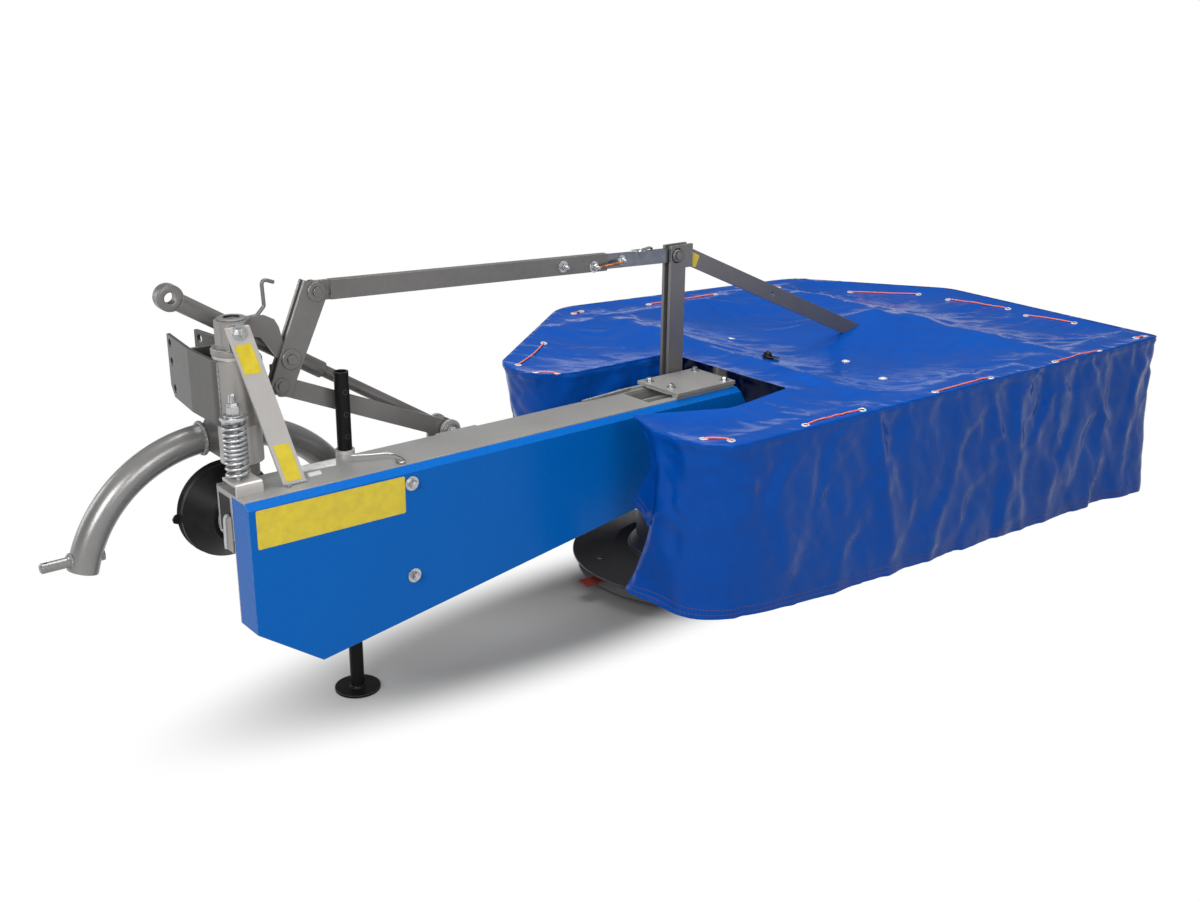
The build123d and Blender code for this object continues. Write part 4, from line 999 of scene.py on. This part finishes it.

# the rim, the first two columns at one free end of the skirt and what lies on a pipe or on the post are
# held
rail_half, bearer_half, bearer_reach, post_half = 17, 10, 560, 22
held = cover.vertex_groups.new(name="held")
for index, point in enumerate(cloth_points):
    if index < len(edge_points) or index in fall[0] or index in fall[1]:
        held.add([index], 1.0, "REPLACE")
    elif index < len(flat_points):
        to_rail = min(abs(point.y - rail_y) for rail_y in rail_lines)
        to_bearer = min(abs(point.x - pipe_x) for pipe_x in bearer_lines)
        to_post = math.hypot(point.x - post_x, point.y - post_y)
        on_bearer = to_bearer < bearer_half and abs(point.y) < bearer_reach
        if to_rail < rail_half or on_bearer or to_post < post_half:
            held.add([index], 1.0, "REPLACE")
cloth = cover.modifiers.new("cloth", "CLOTH")
for name, value in (("quality", 6), ("mass", 0.12), ("tension_stiffness", 40),
                    ("compression_stiffness", 40), ("shear_stiffness", 20), ("bending_stiffness", 25),
                    ("air_damping", 3), ("vertex_group_mass", "held"), ("shrink_min", -0.001)):
    setattr(cloth.settings, name, value)
cloth.collision_settings.use_collision = False
cloth.point_cache.frame_end = 20
settling_frames = 14
for step in range(settling_frames):
    bpy.context.scene.frame_set(step + 1)
bpy.context.view_layer.objects.active = cover
bpy.ops.object.modifier_apply(modifier="cloth")
bpy.context.scene.frame_set(1)

bpy.context.view_layer.update()
cloth_tree = BVHTree.FromObject(cover, bpy.context.evaluated_depsgraph_get())


def on_cloth(x, y):
    """Where a point of the cover's top lies, in millimetres, and which way the cloth faces there."""
    spot, normal, _, _ = cloth_tree.ray_cast(at(x, y, 900), Vector((0, 0, -1)))
    if spot is None:
        spot, normal, _, _ = cloth_tree.find_nearest(at(x, y, cover_top_z))
    if normal.z < 0:
        normal = -normal
    return (spot - column_axis) * 1000, normal


def rolled(hole, half_wide, lift, high):
    """The profile of a rolled eyelet: the radius of its hole, half its roll's width, lift and height."""
    return [(hole + half_wide - half_wide * out, lift + high * up) for out, up in circle(12)]


eyelet_metal = mottled("white eyelets", "zinc", 220.0, 4.0,
                       [(0.3, (0.42, 0.41, 0.39)), (0.65, (0.75, 0.74, 0.72))], (0.3, 0.2), Metallic=0.2)
cord_finish = Finish("orange cord", None)
strands = cord_finish.node("TexWave", {"wave_type": "BANDS", "bands_direction": "DIAGONAL"},
                           {"Vector": cord_finish.place, "Scale": 260.0, "Distortion": 1.0})
cord_finish.into(
    Base_Color=blend(cord_finish, strands, (0.85, 0.12, 0.07), (0.90, 0.28, 0.18)),
    Roughness=strands * 0.2 + 0.5,
    Normal=relief(cord_finish, strands, 0.6, 0.0006))
lacings = (
    # x and y of the first eyelet, x and y of the second, slack of the cord between them
    (908, 269, 1113, 425, 7),
    (920, 112, 888, 165, 9),
    (1401, 650, 1435, 655, 1),
    (1671, 605, 1933, 570, 3),
    (2146, 550, 2184, 522, 2),
    (2375, 370, 2525, 200, 5),
    (2540, 92, 2562, -122, -4),
    (2530, -209, 2552, -363, -4),
    (2509, -588, 2541, -597, 1),
    (2275, -607, 2075, -596, 2),
    (1788, -588, 1572, -577, 2),
    (1301, -569, 1111, -562, 3),
    (862, -485, 893, -540, -8),
)
cord_radius, cord_steps, cord_dip = 1.9, 24, 6.0
# a black disc in each eyelet is painted shade: the cloth is not cut, and the disc stands for the dark seen
# down through the hole
eyelet_hole_shades = Shape("eyelet_hole_shades")
for number, (ax, ay, bx, by, slack) in enumerate(lacings):
    eyelets = Shape(f"eyelets_{number}")
    ends = []
    for x, y in ((ax, ay), (bx, by)):
        spot, normal = on_cloth(x, y)
        eyelets.turn(rolled(4.5, 2.8, 0.4, 1.8), spot, normal, 28)
        eyelet_hole_shades.turn([(0, 1.1), (5.2, 1.1), (5.2, 0.1)], spot, normal, 20)
        ends.append(spot)
    eyelets.done(eyelet_metal, "drum_unit")
    line = []
    across = (ends[1] - ends[0]).cross(Vector((0, 0, 1))).normalized()
    for step in range(cord_steps + 1):
        share = step / cord_steps
        spot = ends[0].lerp(ends[1], share) + across * slack * math.sin(share * math.pi)
        spot.z = max(spot.z, on_cloth(spot.x, spot.y)[0].z) + 2.2
        # the cord's ends go down through the eyelets
        spot.z -= cord_dip if step in (0, cord_steps) else 0
        line.append(spot)
    Shape(f"lacing_{number}").sweep(line, cord_radius).done(cord_finish, "drum_unit", crease=80)
middle_eyelets = Shape("middle_eyelets")
for x, y in ((1639, 199), (1741, -151), (1639, -362)):
    middle_eyelets.turn(rolled(3, 4.5, 0.8, 2.0), *on_cloth(x, y), 28)
middle_eyelets.done(eyelet_metal, "drum_unit")
eyelet_hole_shades.done(black_plastic, "drum_unit")
# the knob of a lever stands in a round gaiter on the cloth
spot, normal = on_cloth(1502, -85)
knob = Shape("lever_knob")
spot.z += 4
knob.turn([(0, 24), (7, 23), (12, 18), (13, 11), (10, 5), (6.5, 2), (6.5, -6)],
          spot - Vector((0, 0, 1)), (-0.55, 0.1, 0.35), 28)
knob.turn([(26, 0.2), (24, 2.4), (19, 3.0), (14, 2.0), (10, -1.0), (0, -3)], spot, normal, 36)
knob.done(black_plastic, "drum_unit")


# --------------------------------------------------------------------- studio
# A dark grey floor under four broad white lamps: one overhead, one at the left, one in front and one at the
# far left. Seen from the camera and in reflections, it turns white outside an oval set under the beam, so
# the grey oval and its fade paint the spread of the shadow over the one the lamps cast. The room round it
# is dark at eye level.
floor_mesh = bpy.data.meshes.new("floor")
floor_half, floor_z = 14, -0.001
floor_mesh.from_pydata([(side * floor_half, end * floor_half, floor_z) for side, end in (
    (-1, -1), (1, -1), (1, 1), (-1, 1))], [], [(0, 1, 2, 3)])
floor = placed("floor", floor_mesh)
# painted shadow: the floor's dark grey shows only inside an oval under the beam and fades to white outside
# it, laid over the shadow that the lamps cast
pale = Finish("floor with painted shadow", None, Roughness=0.9, Base_Color=(0.27, 0.27, 0.27, 1), Specular_IOR_Level=0.1)
painted_shadow_oval = pale.node("Mapping", {}, {
    "Vector": pale.place, "Location": (0.15, 0.115, 0), "Scale": (0.62, 2.3, 0)})
away = pale.node("VectorMath", {"operation": "LENGTH"}, {0: painted_shadow_oval}, output="Value")
painted_shadow_fade = pale.node("MapRange", {"interpolation_type": "SMOOTHSTEP"}, {
    "Value": away, "From Min": 0.3, "From Max": 0.75})
seen = sum(pale.node("LightPath", output=f"Is {kind} Ray") for kind in (
    "Camera", "Glossy", "Transmission"))
glow = pale.node("Emission", {}, {"Color": (1, 1, 1, 1), "Strength": 1.0})
lit = Wire(pale, pale.shader.outputs[0])
pale.plug(pale.output.inputs[0], pale.node("MixShader", {}, {0: seen * painted_shadow_fade, 1: lit, 2: glow}))
floor_mesh.materials.append(pale.material)

world = bpy.data.worlds.new("studio")
bpy.context.scene.world = world
world.use_nodes = True
sky = Nodes(world.node_tree)
facing = sky.node("TexCoord", output="Generated")
height = sky.node("SeparateXYZ", {}, {0: facing}, output="Z")
levels = ((0.0, 1.0), (0.53, 1.0), (0.58, 0.14), (0.80, 0.22), (1.0, 0.60))
shade = sky.node("ValToRGB", {"stops": [(rise, (level, level, level)) for rise, level in levels]},
                 {"Fac": height * 0.5 + 0.5})
sky.node("OutputWorld", {}, {"Surface": sky.node("Background", {}, {"Color": shade})})

lamps = (
    # name, place, what it points at, size, power
    ("overhead", (0.2, 0.2, 4.2), (0, 0, 0), 2.4, 140),
    ("left", (-4.0, -2.4, 2.4), (-0.3, 0, 0.4), 1.6, 115),
    ("front", (-1.6, -4.4, 2.4), (0, 0, 0.3), 1.6, 62),
    ("far_left", (-3.6, 3.4, 1.8), (-0.5, 0, 0.4), 2.0, 50),
)
for name, spot, aim, size, power in lamps:
    light = bpy.data.lights.new(name, "AREA")
    light.size = size
    light.energy = power
    lamp = placed(name, light)
    lamp.location = spot
    lamp.rotation_euler = (Vector(aim) - Vector(spot)).to_track_quat("-Z", "Y").to_euler()

turn, tilt, roll = math.radians(-39.71), math.radians(18.83), math.radians(0.61)
backward = Vector((math.sin(turn) * math.cos(tilt), -math.cos(turn) * math.cos(tilt), math.sin(tilt)))
level_right = Vector((math.cos(turn), math.sin(turn), 0))
level_up = backward.cross(level_right)
right = level_right * math.cos(roll) + level_up * math.sin(roll)
up = level_up * math.cos(roll) - level_right * math.sin(roll)
lens = bpy.data.cameras.new("camera")
lens.lens = 39.36
lens.sensor_width = 36
lens.shift_x, lens.shift_y = 0.0035, -0.0032
camera = placed("camera", lens)
stance = Matrix((right, up, backward)).transposed().to_4x4()
stance.translation = (-2.20205, -2.4991, 1.5249)
camera.matrix_world = stance
bpy.context.scene.camera = camera
bpy.context.scene.view_settings.view_transform = "Standard"
